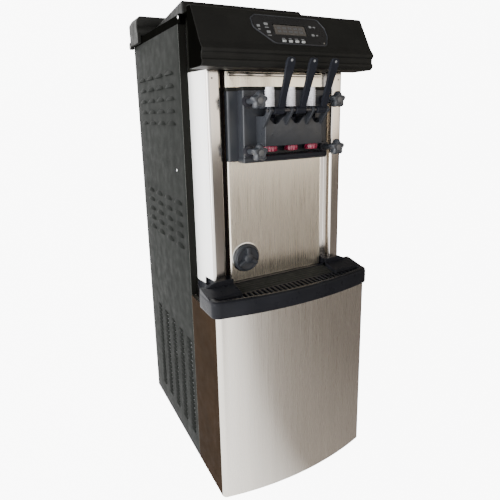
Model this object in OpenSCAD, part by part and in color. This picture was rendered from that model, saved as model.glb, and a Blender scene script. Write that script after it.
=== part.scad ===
// Floor-standing soft serve machine: two freezing cylinders, three levers, one mixed flavour.
// Front faces -Y, +Z is up, the origin is on the floor under the middle of the whole machine.

/* [Cabinet] */
// Width across the side panels
body_w = 540; // [532:2:548]
// Depth of the cabinet behind its front plane
body_d = 478; // [470:2:490]
// Height of the side panels' top edge
side_top = 1418; // [1416:1:1420]
// Height of the levelling feet below the base pan
foot_h = 14; // [12:1:16]
// Thickness of the sheet metal
sheet = 1.5; // [1.2:0.1:2]

/* [Lower front] */
// Height of the top edge of the bowed lower panel
door_top = 611; // [607:1:613]
// How far the lower panel's corners stand in front of the cabinet
door_reach = 193; // [188:1:196]
// How much the lower panel bows forward at its middle
door_bow = 34; // [28:1:36]
// Radius of the lower panel's vertical corners
door_corner = 16; // [10:1:20]
// Height of the tray surround's rim above the lower panel
tray_rise = 49; // [45:1:52]
// Width of the tray surround's rim
tray_rim = 20; // [18:1:24]

/* [Neck] */
// Width across the outer faces of the two columns
neck_w = 466; // [464:1:468]
// How far the columns stand in front of the cabinet
neck_reach = 103; // [101:1:104]
// Width of one column
column_w = 41; // [39:1:42]
// Height where the columns meet the tray deck
neck_base = 684; // [682:1:686]
// Width of the central fascia
fascia_w = 343; // [341:1:345]
// How far the fascia stands behind the columns' front faces
fascia_setback = 19; // [18:1:20]

/* [Visor] */
// Width of the visor
visor_w = 560; // [556:2:564]
// Height of the visor's lower edge
visor_bottom = 1288; // [1286:1:1290]
// Height of the visor's top edge
visor_top = 1443; // [1441:1:1445]
// Wall thickness of the visor
visor_wall = 3; // [2.5:0.1:3.5]

/* [Dispensing head] */
// Distance between neighbouring plungers
plunger_pitch = 70; // [68:1:72]
// Height of the lever pivot above the floor
pivot_z = 1176; // [1175:1:1177]
// Length of a lever from pivot to tip
lever_len = 147; // [143:1:148]
// Forward lean of a lever at rest, in degrees
lever_lean = 22.5; // [21:0.5:23.5]
// Radius of the lever rod
rod_r = 5; // [4.8:0.1:5.2]
// Radius of a plunger
plunger_r = 14; // [13.8:0.1:14.2]

/* [Hopper and freezing] */
// Width of one hopper
hopper_w = 204; // [200:1:206]
// Depth of one hopper from front to back
hopper_d = 290; // [284:2:294]
// Height of a hopper's floor
hopper_floor = 1246; // [1244:1:1250]
// Inner radius of a freezing cylinder
barrel_r = 50; // [48:0.5:51]

/* [Hidden] */
$fn = 48;
gap = 0.3;

// Planes of the cabinet; the lever tips and the hinge barrels are equally far from the origin
half_w = body_w / 2;
hinge_r = 13;
tip_r = 5;
pivot_reach = 214;
front = (pivot_reach + (lever_len - 8) * sin(lever_lean) + tip_r - body_d - 2 - hinge_r) / 2;
back = front + body_d;
pan_z = foot_h;
door_bottom = foot_h - 2;
post = 25;

// Planes of the front
neck_y = front - neck_reach;
fascia_y = neck_y + fascia_setback;
floor_y = neck_y + 33;
wall_x = neck_w / 2 + 13;
tray_z = door_top;
rim_z = door_top + tray_rise;
tray_half = half_w + 11;
tray_corner_y = front - door_reach - 3;
pan_z0 = tray_z + 8;
grille_z = rim_z - 14;
ramp_top = neck_base - 22;
ramp_low = rim_z - 11;
pan_back_y = fascia_y - 66;
shoulder_y = fascia_y - 13;
fascia_base = ramp_top + 1;

// The sloping face of the visor
visor_back_y = front - 98;
slope_top_y = front - 124;
slope_low_y = front - 176;
slope_low_z = visor_top - 95;
slope_angle = atan2(visor_top - slope_low_z, slope_top_y - slope_low_y);
slope_mid_y = (slope_top_y + slope_low_y) / 2;
slope_mid_z = (visor_top + slope_low_z) / 2;
bezel_t = 2.5;
button_pitch = 21;

// Dispensing head: a backplate on the fascia, a body in front of it and a nose for the plungers
plate_half = 175;
body_half = 143;
nose_half = 103;
nose_right = 89;
head_low = 1035;
body_low = 1045;
head_high = 1235;
plate_y = front - 105;
body_y = front - 139;
nose_y = front - 190;
nose_low = 1080;
nose_high = 1162;
plunger_y = front - 160;
pivot_y = front - pivot_reach;
arm_len = 54;
arm_drop = 8;
arm_tip_r = 5.5;
knob_x = 131;
knob_z_high = 1201;
knob_z_low = 1065;
knob_y = front - 217;
stud_r = 4;
barrel_x = 85;
barrel_z = 1135;
cap_x = -118;
cap_z = 736;

// Roof
roof_z = side_top;
deck_z = side_top + 24;
hopper_x = 108;
hopper_y0 = front + 46;
hopper_mid_y = hopper_y0 + hopper_d / 2;
cover_z = deck_z + 2.5;
lid_half = 216;
lid_y = front + 98;
lid_top = 1508;
hump_y = back - 109;
hump_top = 1510;
hump_half = half_w + 14;
hinge_y = back + 2;
hinge_z = side_top + 6;
pin_r = 4;

// Drive
shaft_r = 8;
barrel_end_y = back - 190;
pulley_r = 66;
motor_pulley_r = 22;
motor_z = 830;
belt_w = 10;
belt_left_y = barrel_end_y + 56;
belt_right_y = belt_left_y + 16;

// Cooling
fan_x = -172;
fan_y = front + 218;
fan_z = 245;
fan_r = 118;

// ---------- shared shapes ----------

// Plan outline with straight sides, rounded front corners and a bowed front
function bow_y(x, hw, corner_y, bow) =
    let (r = (hw * hw + bow * bow) / (2 * bow))
    corner_y - bow + r - sqrt(r * r - x * x);

function bow_outline(hw, back_y, corner_y, bow, cr, steps = 14) =
    let (xs = hw - cr, base = bow_y(xs, hw, corner_y, bow) + cr)
    concat([[-hw, back_y]],
        [for (a = [0:18:90]) [-xs - cr * cos(a), base - cr * sin(a)]],
        [for (i = [1:steps - 1]) let (x = -xs + 2 * xs * i / steps) [x, bow_y(x, hw, corner_y, bow)]],
        [for (a = [90:-18:0]) [xs + cr * cos(a), base - cr * sin(a)]],
        [[hw, back_y]]);

module bowed_block(hw, back_y, corner_y, bow, cr, z0, z1)
    translate([0, 0, z0])
        linear_extrude(z1 - z0)
            polygon(bow_outline(hw, back_y, corner_y, bow, cr));

// Block given by its lowest and highest corner
module block(a, b) translate(a) cube(b - a);

// Cylinder from a start point along Y or X
module y_cyl(x, y0, y1, z, r)
    translate([x, y0, z]) rotate([-90, 0, 0]) cylinder(r = r, h = y1 - y0);
module x_cyl(x0, x1, y, z, r)
    translate([x0, y, z]) rotate([0, 90, 0]) cylinder(r = r, h = x1 - x0);
module z_cyl(x, y, z0, z1, r)
    translate([x, y, z0]) cylinder(r = r, h = z1 - z0);

// Rectangle with rounded corners, centred
module round_rect(w, d, r) {
    square([w - 2 * r, d], center = true);
    square([w, d - 2 * r], center = true);
    for (sx = [-1, 1], sy = [-1, 1])
        translate([sx * (w / 2 - r), sy * (d / 2 - r)]) circle(r);
}

// Profile in (y, z) pulled along X from x0 to x1
module x_prism(x0, x1, points)
    translate([x0, 0, 0]) rotate([90, 0, 90]) linear_extrude(x1 - x0) polygon(points);

// Puts its children on the visor's sloping face: x across, y up the slope, z outwards
module on_slope() translate([0, slope_mid_y, slope_mid_z]) rotate([slope_angle, 0, 0]) children();

// ---------- structure ----------

module base_pan() color("dimgray") difference() {
    bowed_block(half_w - 4, back - 4, front - door_reach + 4, door_bow, door_corner, pan_z, pan_z + 24);
    bowed_block(half_w - 6, back - 6, front - door_reach + 6, door_bow, door_corner, pan_z + 3, pan_z + 30);
    for (p = foot_points()) z_cyl(p[0], p[1], pan_z - 1, pan_z + 4, 5.3);
}

function foot_points() = [for (sx = [-1, 1], y = [front - 130, back - 60]) [sx * (half_w - 60), y]];

module levelling_feet() color("black") for (p = foot_points()) {
    z_cyl(p[0], p[1], 0, 7, 20);
    z_cyl(p[0], p[1], 7, pan_z - 5, 12);
    z_cyl(p[0], p[1], pan_z - 5, pan_z + 22, 5);
    for (z = [pan_z - 5, pan_z + 3]) translate([p[0], p[1], z]) cylinder(r = 9.5, h = 5, $fn = 6);
}

module corner_post(x, y, sx, sy) {
    block([min(x, x - sx * post), min(y, y - sy * 3), pan_z + 3],
        [max(x, x - sx * post), max(y, y - sy * 3), side_top - 22]);
    block([min(x, x - sx * 3), min(y, y - sy * post), pan_z + 3],
        [max(x, x - sx * 3), max(y, y - sy * post), side_top - 22]);
}

// Four posts, three rings of rails and the bulkhead behind the neck
module frame() color("gray") difference() {
    union() {
        for (sx = [-1, 1]) {
            corner_post(sx * (half_w - 7), front + 3, sx, -1);
            corner_post(sx * (half_w - 7), back - 7, sx, 1);
            for (z = [600, 980, side_top - 40])
                block([sx * (half_w - 8.5) - 1.5, front + 5, z],
                    [sx * (half_w - 8.5) + 1.5, back - 9, z + 20]);
        }
        for (z = [600, side_top - 40])
            block([8.5 - half_w, back - 10, z], [half_w - 8.5, back - 7, z + 20]);
        block([10 - half_w, front + 4, door_top + 50], [half_w - 10, front + 6, side_top - 22]);
        block([9 - half_w, front + 3, door_top - 20], [half_w - 9, front + 60, door_top - 17]);
    }
    for (sx = [-1, 1]) y_cyl(sx * barrel_x, front, front + 10, barrel_z, barrel_r + 14);
    y_cyl(cap_x, front, front + 10, cap_z, 36);
}

// One scooped louvre on the left panel: a half-moon hood over a slit
module louvre(y, z, w, h, d) translate([-half_w + 0.2, y, z]) rotate([0, -90, 0])
    intersection() {
        translate([-h / 2, 0, d - w * w / (8 * d) - d / 2]) sphere(r = w * w / (8 * d) + d / 2);
        translate([-h / 2, -w / 2, 0]) cube([h, w, d]);
    }

function louvre_rows(z0, pitch) = [for (i = [0:4]) z0 + i * pitch];

module left_panel_sheet() {
    slot_mid = [for (i = [0:4]) front + 48 + i * 80];
    difference() {
        union() {
            block([-half_w, front, door_bottom], [-half_w + sheet, back, side_top]);
            block([-half_w, front, pan_z + 25], [-wall_x - 0.5, front + sheet, side_top]);
            block([-half_w, back - sheet, door_bottom], [-half_w + 16, back, side_top]);
        }
        for (y = slot_mid, i = [0:21])
            block([-half_w - 1, y - 22, 80 + i * 16.5], [-half_w + sheet + 1, y + 22, 87 + i * 16.5]);
    }
    for (i = [0:3], z = louvre_rows(1140, 37.5)) louvre(front + 97 + i * 100, z, 76, 13, 7);
    for (i = [0:3], z = louvre_rows(752, 35.5)) louvre(front + 78 + i * 99, z, 72, 13, 7);
}

module side_panel_left() color([0.3, 0.32, 0.3]) left_panel_sheet();
module side_panel_right() color([0.3, 0.32, 0.3]) mirror([1, 0, 0]) left_panel_sheet();

module back_panel() color([0.3, 0.32, 0.3]) difference() {
    union() {
        block([-half_w + 17, back - sheet, door_bottom], [half_w - 17, back, side_top - 0.5]);
        y_cyl(-190, back, back + 6, 90, 14);
    }
    for (z0 = [160, 1020], i = [0:11], x = [-150:100:150])
        block([x - 40, back - 5, z0 + 24 * i], [x + 40, back + 1, z0 + 24 * i + 6]);
    y_cyl(-190, back - 5, back + 10, 90, 6);
}

// ---------- neck ----------

// Right-hand side of the neck: tapering outer wall, round-cornered column, floor of the groove
module neck_side_profile() {
    column_x = (neck_w - column_w) / 2;
    difference() {
        translate([column_x, neck_y + 30]) round_rect(column_w, 60, 8);
        translate([column_x, neck_y + 30]) round_rect(column_w - 2.4, 57.6, 6.8);
        translate([0, neck_y + 11]) square([column_x, 60]);
        translate([column_x, neck_y + 10]) square([column_w, 60]);
    }
    polygon([[neck_w / 2, neck_y + 9], [wall_x, front - gap], [wall_x - 1.2, front - gap],
        [neck_w / 2 - 1.2, neck_y + 9]]);
    translate([neck_w / 2 - column_w, neck_y + 10]) square([1.2, floor_y - neck_y - 9]);
    translate([fascia_w / 2 - 10, floor_y]) square([neck_w / 2 - column_w - fascia_w / 2 + 11, 1.2]);
}

// The outer wall reaches lower than the column where the deck falls away behind it
module right_neck_sheet() difference() {
    translate([0, 0, ramp_top + 0.5]) linear_extrude(visor_top - 8.5 - ramp_top) neck_side_profile();
    block([0, neck_y - 1, ramp_top - 1], [wall_x + 1, neck_y + 55, neck_base]);
    y_cyl(neck_w / 2 - column_w / 2 + 5, neck_y - 1, neck_y + 3, 1266, 2.5);
}

module neck_side_right() color("silver") right_neck_sheet();
module neck_side_left() color("silver") mirror([1, 0, 0]) right_neck_sheet();

module fascia_outline(inset) {
    r = 8 - inset;
    hw = fascia_w / 2 - inset;
    for (sx = [-1, 1]) translate([sx * (hw - r), fascia_y + 8]) circle(r);
    translate([-hw + r, fascia_y + inset]) square([2 * (hw - r), 8 - inset + 0.01]);
    translate([-hw, fascia_y + 8]) square([2 * hw, floor_y - fascia_y - 8.2]);
}

// Brushed centre panel; its top edge is turned into a narrow header lip
module fascia() color("tan") difference() {
    union() {
        translate([0, 0, fascia_base]) linear_extrude(visor_bottom - 2 - fascia_base) difference() {
            fascia_outline(0);
            fascia_outline(1.2);
            translate([-fascia_w / 2 + 2, fascia_y + 8]) square([fascia_w - 4, 20]);
        }
        block([-fascia_w / 2 + 10, fascia_y - 5, visor_bottom - 14],
            [fascia_w / 2 - 10, fascia_y + 0.6, visor_bottom - 4]);
    }
    for (sx = [-1, 1]) y_cyl(sx * barrel_x, fascia_y - 1, fascia_y + 5, barrel_z, barrel_r + 3.5);
    y_cyl(cap_x, fascia_y - 1, fascia_y + 5, cap_z, 33);
    for (sx = [-1, 1], z = [knob_z_low, knob_z_high])
        y_cyl(sx * knob_x, fascia_y - 1, fascia_y + 5, z, stud_r + 0.3);
}

// ---------- lower front ----------

module lower_front_panel() color("gainsboro") difference() {
    bowed_block(half_w, front - 0.5, front - door_reach, door_bow, door_corner, door_bottom, door_top);
    bowed_block(half_w - sheet, front + 1, front - door_reach + sheet, door_bow, door_corner - sheet,
        door_bottom - 1, door_top + 1);
}

// Black moulded surround: raised decks and shoulders beside the fascia, a ribbed ramp below it
// and a deep pocket for the drip pan in front
module tray_surround() color("black") difference() {
    union() {
        bowed_block(tray_half, shoulder_y, tray_corner_y, door_bow, 24, tray_z + gap, rim_z);
        block([2 - wall_x, shoulder_y - 1, tray_z + gap], [wall_x - 2, front - 0.5, ramp_top]);
        for (sx = [-1, 1]) {
            x_side(sx, fascia_w / 2 + 2, neck_w / 2 - 2, [[front - 40, rim_z - 1],
                [front - 46, neck_base - gap], [shoulder_y - 7, neck_base - gap],
                [shoulder_y - 7, rim_z - 1]]);
            x_side(sx, fascia_w / 2 + 2, half_w, [[shoulder_y, rim_z - 1],
                [shoulder_y, neck_base - gap], [shoulder_y - 7, neck_base - gap],
                [shoulder_y - 17, rim_z + 9], [shoulder_y - 17, rim_z - 1]]);
            x_side(sx, fascia_w / 2 + 2, tray_half, [[shoulder_y, rim_z - 1], [shoulder_y, rim_z + 12],
                [shoulder_y - 15, rim_z + 10], [shoulder_y - 71, rim_z - 1]]);
        }
        block([-fascia_w / 2 - 1.5, pan_back_y, rim_z - 1], [fascia_w / 2 + 1.5, front - 20, ramp_top]);
    }
    bowed_block(tray_half - tray_rim, pan_back_y, tray_corner_y + tray_rim - 4, door_bow, 14,
        pan_z0, rim_z + 30);
    x_prism(-fascia_w / 2 - 2, fascia_w / 2 + 2, [[fascia_y - 2, ramp_top], [fascia_y - 2, neck_base + 9],
        [pan_back_y - 5, neck_base + 9], [pan_back_y - 5, ramp_low], [pan_back_y, ramp_low]]);
    for (i = [1:6])
        translate([0, -10 * i, (ramp_low - ramp_top) * i / 7])
            x_cyl(14 - fascia_w / 2, fascia_w / 2 - 14, fascia_y - 2, ramp_top, 2);
    block([24 - wall_x, front - 88, tray_z - 1], [wall_x - 24, front - 20, rim_z - 8]);
}

// Profile in (y, z) between two distances from the middle plane, on one side of it
module x_side(sx, near, far, points) x_prism(min(sx * near, sx * far), max(sx * near, sx * far), points);

module pan_block(inset, z0, z1)
    bowed_block(tray_half - tray_rim - inset, pan_back_y - inset, tray_corner_y + tray_rim - 4 + inset,
        door_bow, 13, z0, z1);

module drip_pan() color([0.08, 0.08, 0.09]) difference() {
    pan_block(0.8, pan_z0, grille_z - gap);
    pan_block(3.2, pan_z0 + 2, grille_z + 1);
}

module drip_grille() color([0.12, 0.12, 0.12]) difference() {
    pan_block(1.4, grille_z, grille_z + 5);
    for (x = [-232:16:232])
        block([x - 4.5, bow_y(x, tray_half, tray_corner_y, door_bow) + tray_rim + 6, grille_z - 1],
            [x + 4.5, pan_back_y - 6, grille_z + 6]);
}

// ---------- visor and controls ----------

function visor_points() = [[visor_back_y, visor_top], [slope_top_y, visor_top], [slope_low_y, slope_low_z],
    [front - 189, slope_low_z - 16], [front - 187, slope_low_z - 24],
    [front - 182, slope_low_z - 34], [front - 184, slope_low_z - 44], [front - 177, visor_bottom],
    [visor_back_y, visor_bottom]];

function visor_inner_points() = let (w = visor_wall) [[visor_back_y - w, visor_top - w],
    [slope_top_y + w, visor_top - w], [slope_low_y + 1.5 * w, slope_low_z - w / 2],
    [front - 182 + w, slope_low_z - 20],
    [front - 176 + w, visor_bottom + w], [visor_back_y - w, visor_bottom + w]];

module visor() color([0.09, 0.09, 0.085]) difference() {
    x_prism(-visor_w / 2, visor_w / 2, visor_points());
    x_prism(-visor_w / 2 + visor_wall, visor_w / 2 - visor_wall, visor_inner_points());
    block([-neck_w / 2 - gap, neck_y - 0.5, visor_bottom - 1], [neck_w / 2 + gap, front, visor_top - 6]);
    for (i = [0:3]) on_slope() translate([button_x(i), -42, -8]) cube([16, 10, 20], center = true);
    on_slope() translate([2, -5, 0]) cube([104, 32, 20], center = true);
}

function button_x(i) = 3 + (i - 1.5) * button_pitch;

// Raised frame around the controls, cut away at its lower left corner
module control_bezel() color([0.13, 0.13, 0.14]) on_slope() translate([0, 0, 0.1]) difference() {
    linear_extrude(bezel_t) difference() {
        translate([5, -6]) round_rect(240, 88, 18);
        translate([-118, -52]) rotate(45) square([48, 48], center = true);
    }
    translate([2, -5, 0]) cube([112, 38, 20], center = true);
    for (i = [0:3]) translate([button_x(i), -42, 0]) cube([12.4, 7.4, 20], center = true);
}

module display_window() color([0.35, 0.33, 0.3]) on_slope() translate([2, -5, -2]) difference() {
    linear_extrude(bezel_t + 1.6) round_rect(103.4, 31.4, 3);
}

module button_cap(i) color("gainsboro") on_slope() translate([button_x(i), -42, -4]) {
    linear_extrude(8.2) round_rect(11.8, 6.8, 2);
    translate([0, 0, 2]) linear_extrude(1.7) round_rect(15.4, 9.4, 2);
}
module button_1() button_cap(0);
module button_2() button_cap(1);
module button_3() button_cap(2);
module button_4() button_cap(3);

// ---------- dispensing head ----------

// One ear that carries the lever rod in front of the nose
module rod_lug(x, w) difference() {
    union() {
        x_cyl(x - w / 2, x + w / 2, pivot_y, pivot_z, 10);
        x_prism(x - w / 2, x + w / 2, [[pivot_y, pivot_z + 10], [nose_y + 6, nose_high - 4],
            [nose_y + 6, nose_high - 34], [pivot_y - 8, pivot_z - 6]]);
    }
    x_cyl(x - w, x + w, pivot_y, pivot_z, rod_r + 0.02);
}

// Front outline of the nose in (x, z): its top edge dips where a lever arm passes
function nose_edge() = concat([[-nose_half, nose_low]],
    [for (i = [0:24]) let (x = (nose_half + nose_right) * i / 24 - nose_half,
        dip = cos(x / plunger_pitch * 180)) [x, nose_high - 22 * dip * dip]],
    [[nose_right, nose_low]]);

module head_body() color([0.12, 0.12, 0.13]) difference() {
    union() {
        for (sx = [-1, 1]) z_cyl(sx * (plate_half - 8), plate_y + 8, head_low, head_high, 8);
        block([8 - plate_half, plate_y, head_low], [plate_half - 8, fascia_y - 1, head_high]);
        block([-plate_half, plate_y + 8, head_low], [plate_half, fascia_y - 1, head_high]);
        block([-plate_half - 3, plate_y - 1, head_high - 4], [plate_half + 3, fascia_y - 1, head_high + 7]);
        block([-body_half, body_y, body_low], [body_half, plate_y + 1, head_high]);
        block([-body_half - 3, body_y - 3, head_high - 3], [body_half + 3, plate_y + 1, head_high + 7]);
        block([-body_half - 2, body_y - 2, head_low - 3], [body_half + 2, plate_y + 1, body_low + 2]);
        translate([0, body_y + 1, 0]) rotate([90, 0, 0])
            linear_extrude(body_y + 1 - nose_y) polygon(nose_edge());
        for (x = [-nose_half, 84]) rod_lug(x, 9);
        for (x = [-35, 35]) rod_lug(x, 8);
    }
    for (i = [-1:1]) z_cyl(i * plunger_pitch, plunger_y, nose_low - 1, nose_high + 1, plunger_r + 0.06);
    // mouths of the two freezing cylinders, joined to the plunger bores
    for (sx = [-1, 1]) {
        y_cyl(sx * barrel_x, body_y + 12, fascia_y + 1, barrel_z, barrel_r - 4);
        y_cyl(sx * plunger_pitch, plunger_y, body_y + 14, 1112, 8);
    }
    x_cyl(-plunger_pitch, plunger_pitch, plunger_y, 1112, 7);
    for (sx = [-1, 1], z = [knob_z_low, knob_z_high])
        y_cyl(sx * knob_x, body_y - 5, fascia_y + 1, z, stud_r + 0.5);
}

module head_gaskets() color("black") for (sx = [-1, 1]) difference() {
    y_cyl(sx * barrel_x, fascia_y - 1, fascia_y, barrel_z, barrel_r + 12);
    y_cyl(sx * barrel_x, fascia_y - 4, fascia_y + 1, barrel_z, barrel_r + 4);
}

module head_studs() color("silver") for (sx = [-1, 1], z = [knob_z_low, knob_z_high])
    y_cyl(sx * knob_x, knob_y + 8, fascia_y + 12, z, stud_r);

// Five-lobed nut on a long hub with a collar against the head and a blind threaded bore
module star_knob(x, z) color([0.1, 0.1, 0.11]) difference() {
    union() {
        y_cyl(x, knob_y + 20, body_y - gap, z, 8.5);
        y_cyl(x, body_y - 12, body_y - gap, z, 16);
        y_cyl(x, knob_y, knob_y + 23, z, 15);
        for (a = [18:72:306])
            y_cyl(x + 15 * cos(a), knob_y + 1, knob_y + 22, z + 15 * sin(a), 9);
    }
    y_cyl(x, knob_y + 7, body_y, z, stud_r + 0.05);
}
module knob_upper_left() star_knob(-knob_x, knob_z_high);
module knob_upper_right() star_knob(knob_x, knob_z_high);
module knob_lower_left() star_knob(-knob_x, knob_z_low);
module knob_lower_right() star_knob(knob_x, knob_z_low);

module lever_rod() color("silver") x_cyl(-nose_half - 9, 93, pivot_y, pivot_z, rod_r);

// Paddle leaning forward, eye with a spacer sleeve on the rod, arm with a round tip in the plunger
module lever(x) color([0.1, 0.1, 0.12]) translate([x, pivot_y, pivot_z]) difference() {
    union() {
        x_cyl(-22, 9, 0, 0, 10);
        rotate([lever_lean, 0, 0]) {
            rotate([90, 0, 0]) translate([0, 0, -tip_r]) linear_extrude(2 * tip_r)
                polygon([[-8.5, 0], [8.5, 0], [9.5, 70], [12, lever_len - 26], [12, lever_len - 8],
                    [-12, lever_len - 8], [-12, lever_len - 26], [-9.5, 70]]);
            x_cyl(-12, 12, 0, lever_len - 8, tip_r);
        }
        rotate([-arm_drop, 0, 0]) {
            block([-6, 0, -4.5], [6, arm_len, 4.5]);
            x_cyl(-6, 6, arm_len, 0, arm_tip_r);
        }
    }
    x_cyl(-23, 10, 0, 0, rod_r + 0.05);
}
module lever_left() lever(-plunger_pitch);
module lever_middle() lever(0);
module lever_right() lever(plunger_pitch);

// Ribbed draw plunger with a slot for the lever's tip that widens towards the front
module plunger(x) color("white") translate([x, plunger_y, 0]) {
    slot_z = pivot_z - arm_len * sin(arm_drop);
    difference() {
        ribbed_rod(slot_z);
        translate([0, 0, slot_z])
            x_prism(-7, 7, [[8, -6.2], [8, 6.2], [-6, 6.5], [-15, 9.5], [-15, -13.5], [-6, -6.8]]);
    }
}
module ribbed_rod(slot_z) {
    z_cyl(0, 0, nose_low + 2, slot_z + 12, plunger_r);
    z_cyl(0, 0, slot_z + 11, head_high + 5, plunger_r - 2);
    for (z = [slot_z + 18:6:head_high - 2]) z_cyl(0, 0, z, z + 3.4, plunger_r);
}
module plunger_left() plunger(-plunger_pitch);
module plunger_middle() plunger(0);
module plunger_right() plunger(plunger_pitch);

// Star-mouthed caps under the three outlets
module nozzle_caps() color([0.75, 0.1, 0.22]) for (i = [-1:1]) translate([i * plunger_pitch, plunger_y, 0])
    difference() {
        z_cyl(0, 0, nose_low - 17, nose_low - gap, 20);
        z_cyl(0, 0, nose_low - 14, nose_low, 16);
        for (a = [0:60:300]) rotate(a) translate([0, -2, nose_low - 18]) cube([10, 4, 8]);
    }

// Black plate under the caps with a round passage below each outlet
module spout_shroud() color([0.1, 0.1, 0.1]) difference() {
    block([-110, nose_y - 3, body_low - 3], [110, body_y - 2, body_low + 10]);
    for (i = [-1:1]) z_cyl(i * plunger_pitch, plunger_y, body_low - 4, body_low + 11, 15);
}

// ---------- shaft-seal drip drawer ----------

module drawer_knob() color([0.08, 0.08, 0.1]) difference() {
    union() {
        y_cyl(cap_x, fascia_y - 13, fascia_y - 3.3, cap_z, 43);
        y_cyl(cap_x, fascia_y - 19, fascia_y - 12, cap_z, 38);
        for (a = [90:120:330]) translate([cap_x, fascia_y - 27, cap_z]) rotate([0, a, 0])
            block([0, 0, -5], [34, 9, 5]);
        y_cyl(cap_x, fascia_y - 27, fascia_y - 18, cap_z, 12);
    }
    y_cyl(cap_x, fascia_y - 8, fascia_y, cap_z, 29.8);
}

// Tube pulled out with the knob, open along its top
module drawer_trough() color("white") difference() {
    y_cyl(cap_x, fascia_y - 8, front + 112, cap_z, 29);
    y_cyl(cap_x, fascia_y - 5, front + 109, cap_z, 27);
    block([cap_x - 18, fascia_y + 12, cap_z + 5], [cap_x + 18, front + 104, cap_z + 40]);
}

module drawer_ring() color("silver") difference() {
    y_cyl(cap_x, fascia_y - 3, fascia_y - 0.01, cap_z, 47);
    y_cyl(cap_x, fascia_y - 4, fascia_y + 1, cap_z, 30);
}

// ---------- roof ----------

module roof_frame() color([0.1, 0.1, 0.09]) difference() {
    union() {
        difference() {
            block([-half_w, front, roof_z + gap], [half_w, back, deck_z]);
            block([-half_w + 3, front + 3, roof_z], [half_w - 3, back - 3, deck_z - 3]);
        }
        block([-half_w + 8, visor_back_y + gap, deck_z - 3], [half_w - 8, front + 1, deck_z]);
        for (sx = [-1, 1]) {
            x_side(sx, half_w - 3, half_w, [[front - 18, roof_z + gap], [front - 18, deck_z],
                [front + 1, deck_z], [front + 1, roof_z + gap]]);
            x_side(sx, half_w - 9, half_w, [[front - 18, deck_z - 3], [front - 18, deck_z],
                [front + 1, deck_z], [front + 1, deck_z - 3]]);
            block([sx * (half_w - 5) - 5, back - 8, hinge_z - 5],
                [sx * (half_w - 5) + 5, back + 8, hinge_z + 9]);
        }
    }
    for (sx = [-1, 1]) x_cyl(sx * (half_w - 5) - 10, sx * (half_w - 5) + 10, hinge_y, hinge_z, pin_r + 0.02);
    for (sx = [-1, 1])
        translate([sx * hopper_x, hopper_mid_y, deck_z - 5])
            linear_extrude(10) round_rect(hopper_w + 1, hopper_d + 1, 20.5);
}

// Hinged top: raised lid over the hoppers, falling a little to the rear, and the taller rear hump
module lid_block(inset, z0)
    x_prism(inset - lid_half, lid_half - inset, [[lid_y + inset, z0], [lid_y + inset, lid_top - inset],
        [hump_y + 2 + inset, lid_top - 33 - inset], [hump_y + 2 + inset, z0]]);

module hopper_cover() color([0.09, 0.09, 0.085]) {
    difference() {
        union() {
            lid_block(0, cover_z);
            hump_block(0, cover_z, hump_top);
            for (sx = [-1, 1])
                x_side(sx, half_w + 1, hump_half, [[hump_y, side_top + 3], [hump_y, cover_z + 12],
                    [back - 2, cover_z + 12], [back - 2, side_top + 3]]);
            block([-lid_half - 20, front + 30, cover_z], [lid_half + 20, hump_y + 2, cover_z + 3]);
        }
        lid_block(3, cover_z - 1);
        hump_block(3, cover_z - 1, hump_top - 3);
    }
    for (sx = [-1, 1]) difference() {
        union() {
            x_cyl(sx * (half_w + 8) - 7, sx * (half_w + 8) + 7, hinge_y, hinge_z, hinge_r);
            block([sx * (half_w + 4) - 3, hinge_y - 20, hinge_z],
                [sx * (half_w + 4) + 3, hinge_y + 2, cover_z + 14]);
            block([sx * (half_w + 1) - 6, hinge_y - 20, cover_z],
                [sx * (half_w + 1) + 6, hinge_y - 4, cover_z + 14]);
        }
        x_cyl(sx * (half_w + 8) - 10, sx * (half_w + 8) + 10, hinge_y, hinge_z, pin_r + 0.05);
    }
}

// Chamfered block right across the rear, a little wider than the cabinet above its foot
module hump_block(inset, z0, z1) {
    half = hump_half - inset;
    low = half - 14;
    translate([0, back - 2 - inset, z0]) rotate([90, 0, 0])
        linear_extrude(back - 2 - hump_y - 2 * inset)
            polygon([[-low, 0], [low, 0], [half, 10], [half, z1 - z0 - 18], [half - 12, z1 - z0],
                [12 - half, z1 - z0], [-half, z1 - z0 - 18], [-half, 10]]);
}

module cover_pins() color("silver") for (sx = [-1, 1])
    x_cyl(sx * (half_w + 7) - 9, sx * (half_w + 7) + 9, hinge_y, hinge_z, pin_r);

// ---------- hoppers and cylinders ----------

// Stainless tub with a rim on the deck and a pipe down to its cylinder
module hopper(sx) color("silver") translate([sx * hopper_x, hopper_mid_y, 0]) {
    pipe_x = sx * (barrel_x - hopper_x);
    pipe_y = -hopper_d / 2 + 40;
    difference() {
        union() {
            translate([0, 0, hopper_floor]) linear_extrude(deck_z + 1 - hopper_floor)
                round_rect(hopper_w, hopper_d, 20);
            translate([0, 0, deck_z + gap]) linear_extrude(1.5) round_rect(hopper_w + 9, hopper_d + 16, 24);
            z_cyl(pipe_x, pipe_y, barrel_z + barrel_r + 3.5, hopper_floor + 1, 15);
        }
        translate([0, 0, hopper_floor + 2]) linear_extrude(250) round_rect(hopper_w - 4, hopper_d - 4, 18);
        z_cyl(pipe_x, pipe_y, barrel_z, hopper_floor + 5, 12);
    }
}
module hopper_left() hopper(-1);
module hopper_right() hopper(1);

// Upright air and mix tubes standing in the hopper outlets
module feed_tubes() color("whitesmoke") for (sx = [-1, 1]) translate([sx * barrel_x, hopper_y0 + 40, 0])
    difference() {
        union() {
            z_cyl(0, 0, hopper_floor - 30, deck_z - 30, 11.8);
            z_cyl(0, 0, hopper_floor + 2.3, hopper_floor + 12, 17);
            x_cyl(-20, 20, 0, deck_z - 38, 5);
        }
        z_cyl(0, 0, hopper_floor - 40, deck_z - 20, 8);
        y_cyl(0, -20, 20, hopper_floor + 18, 3);
    }

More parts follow.
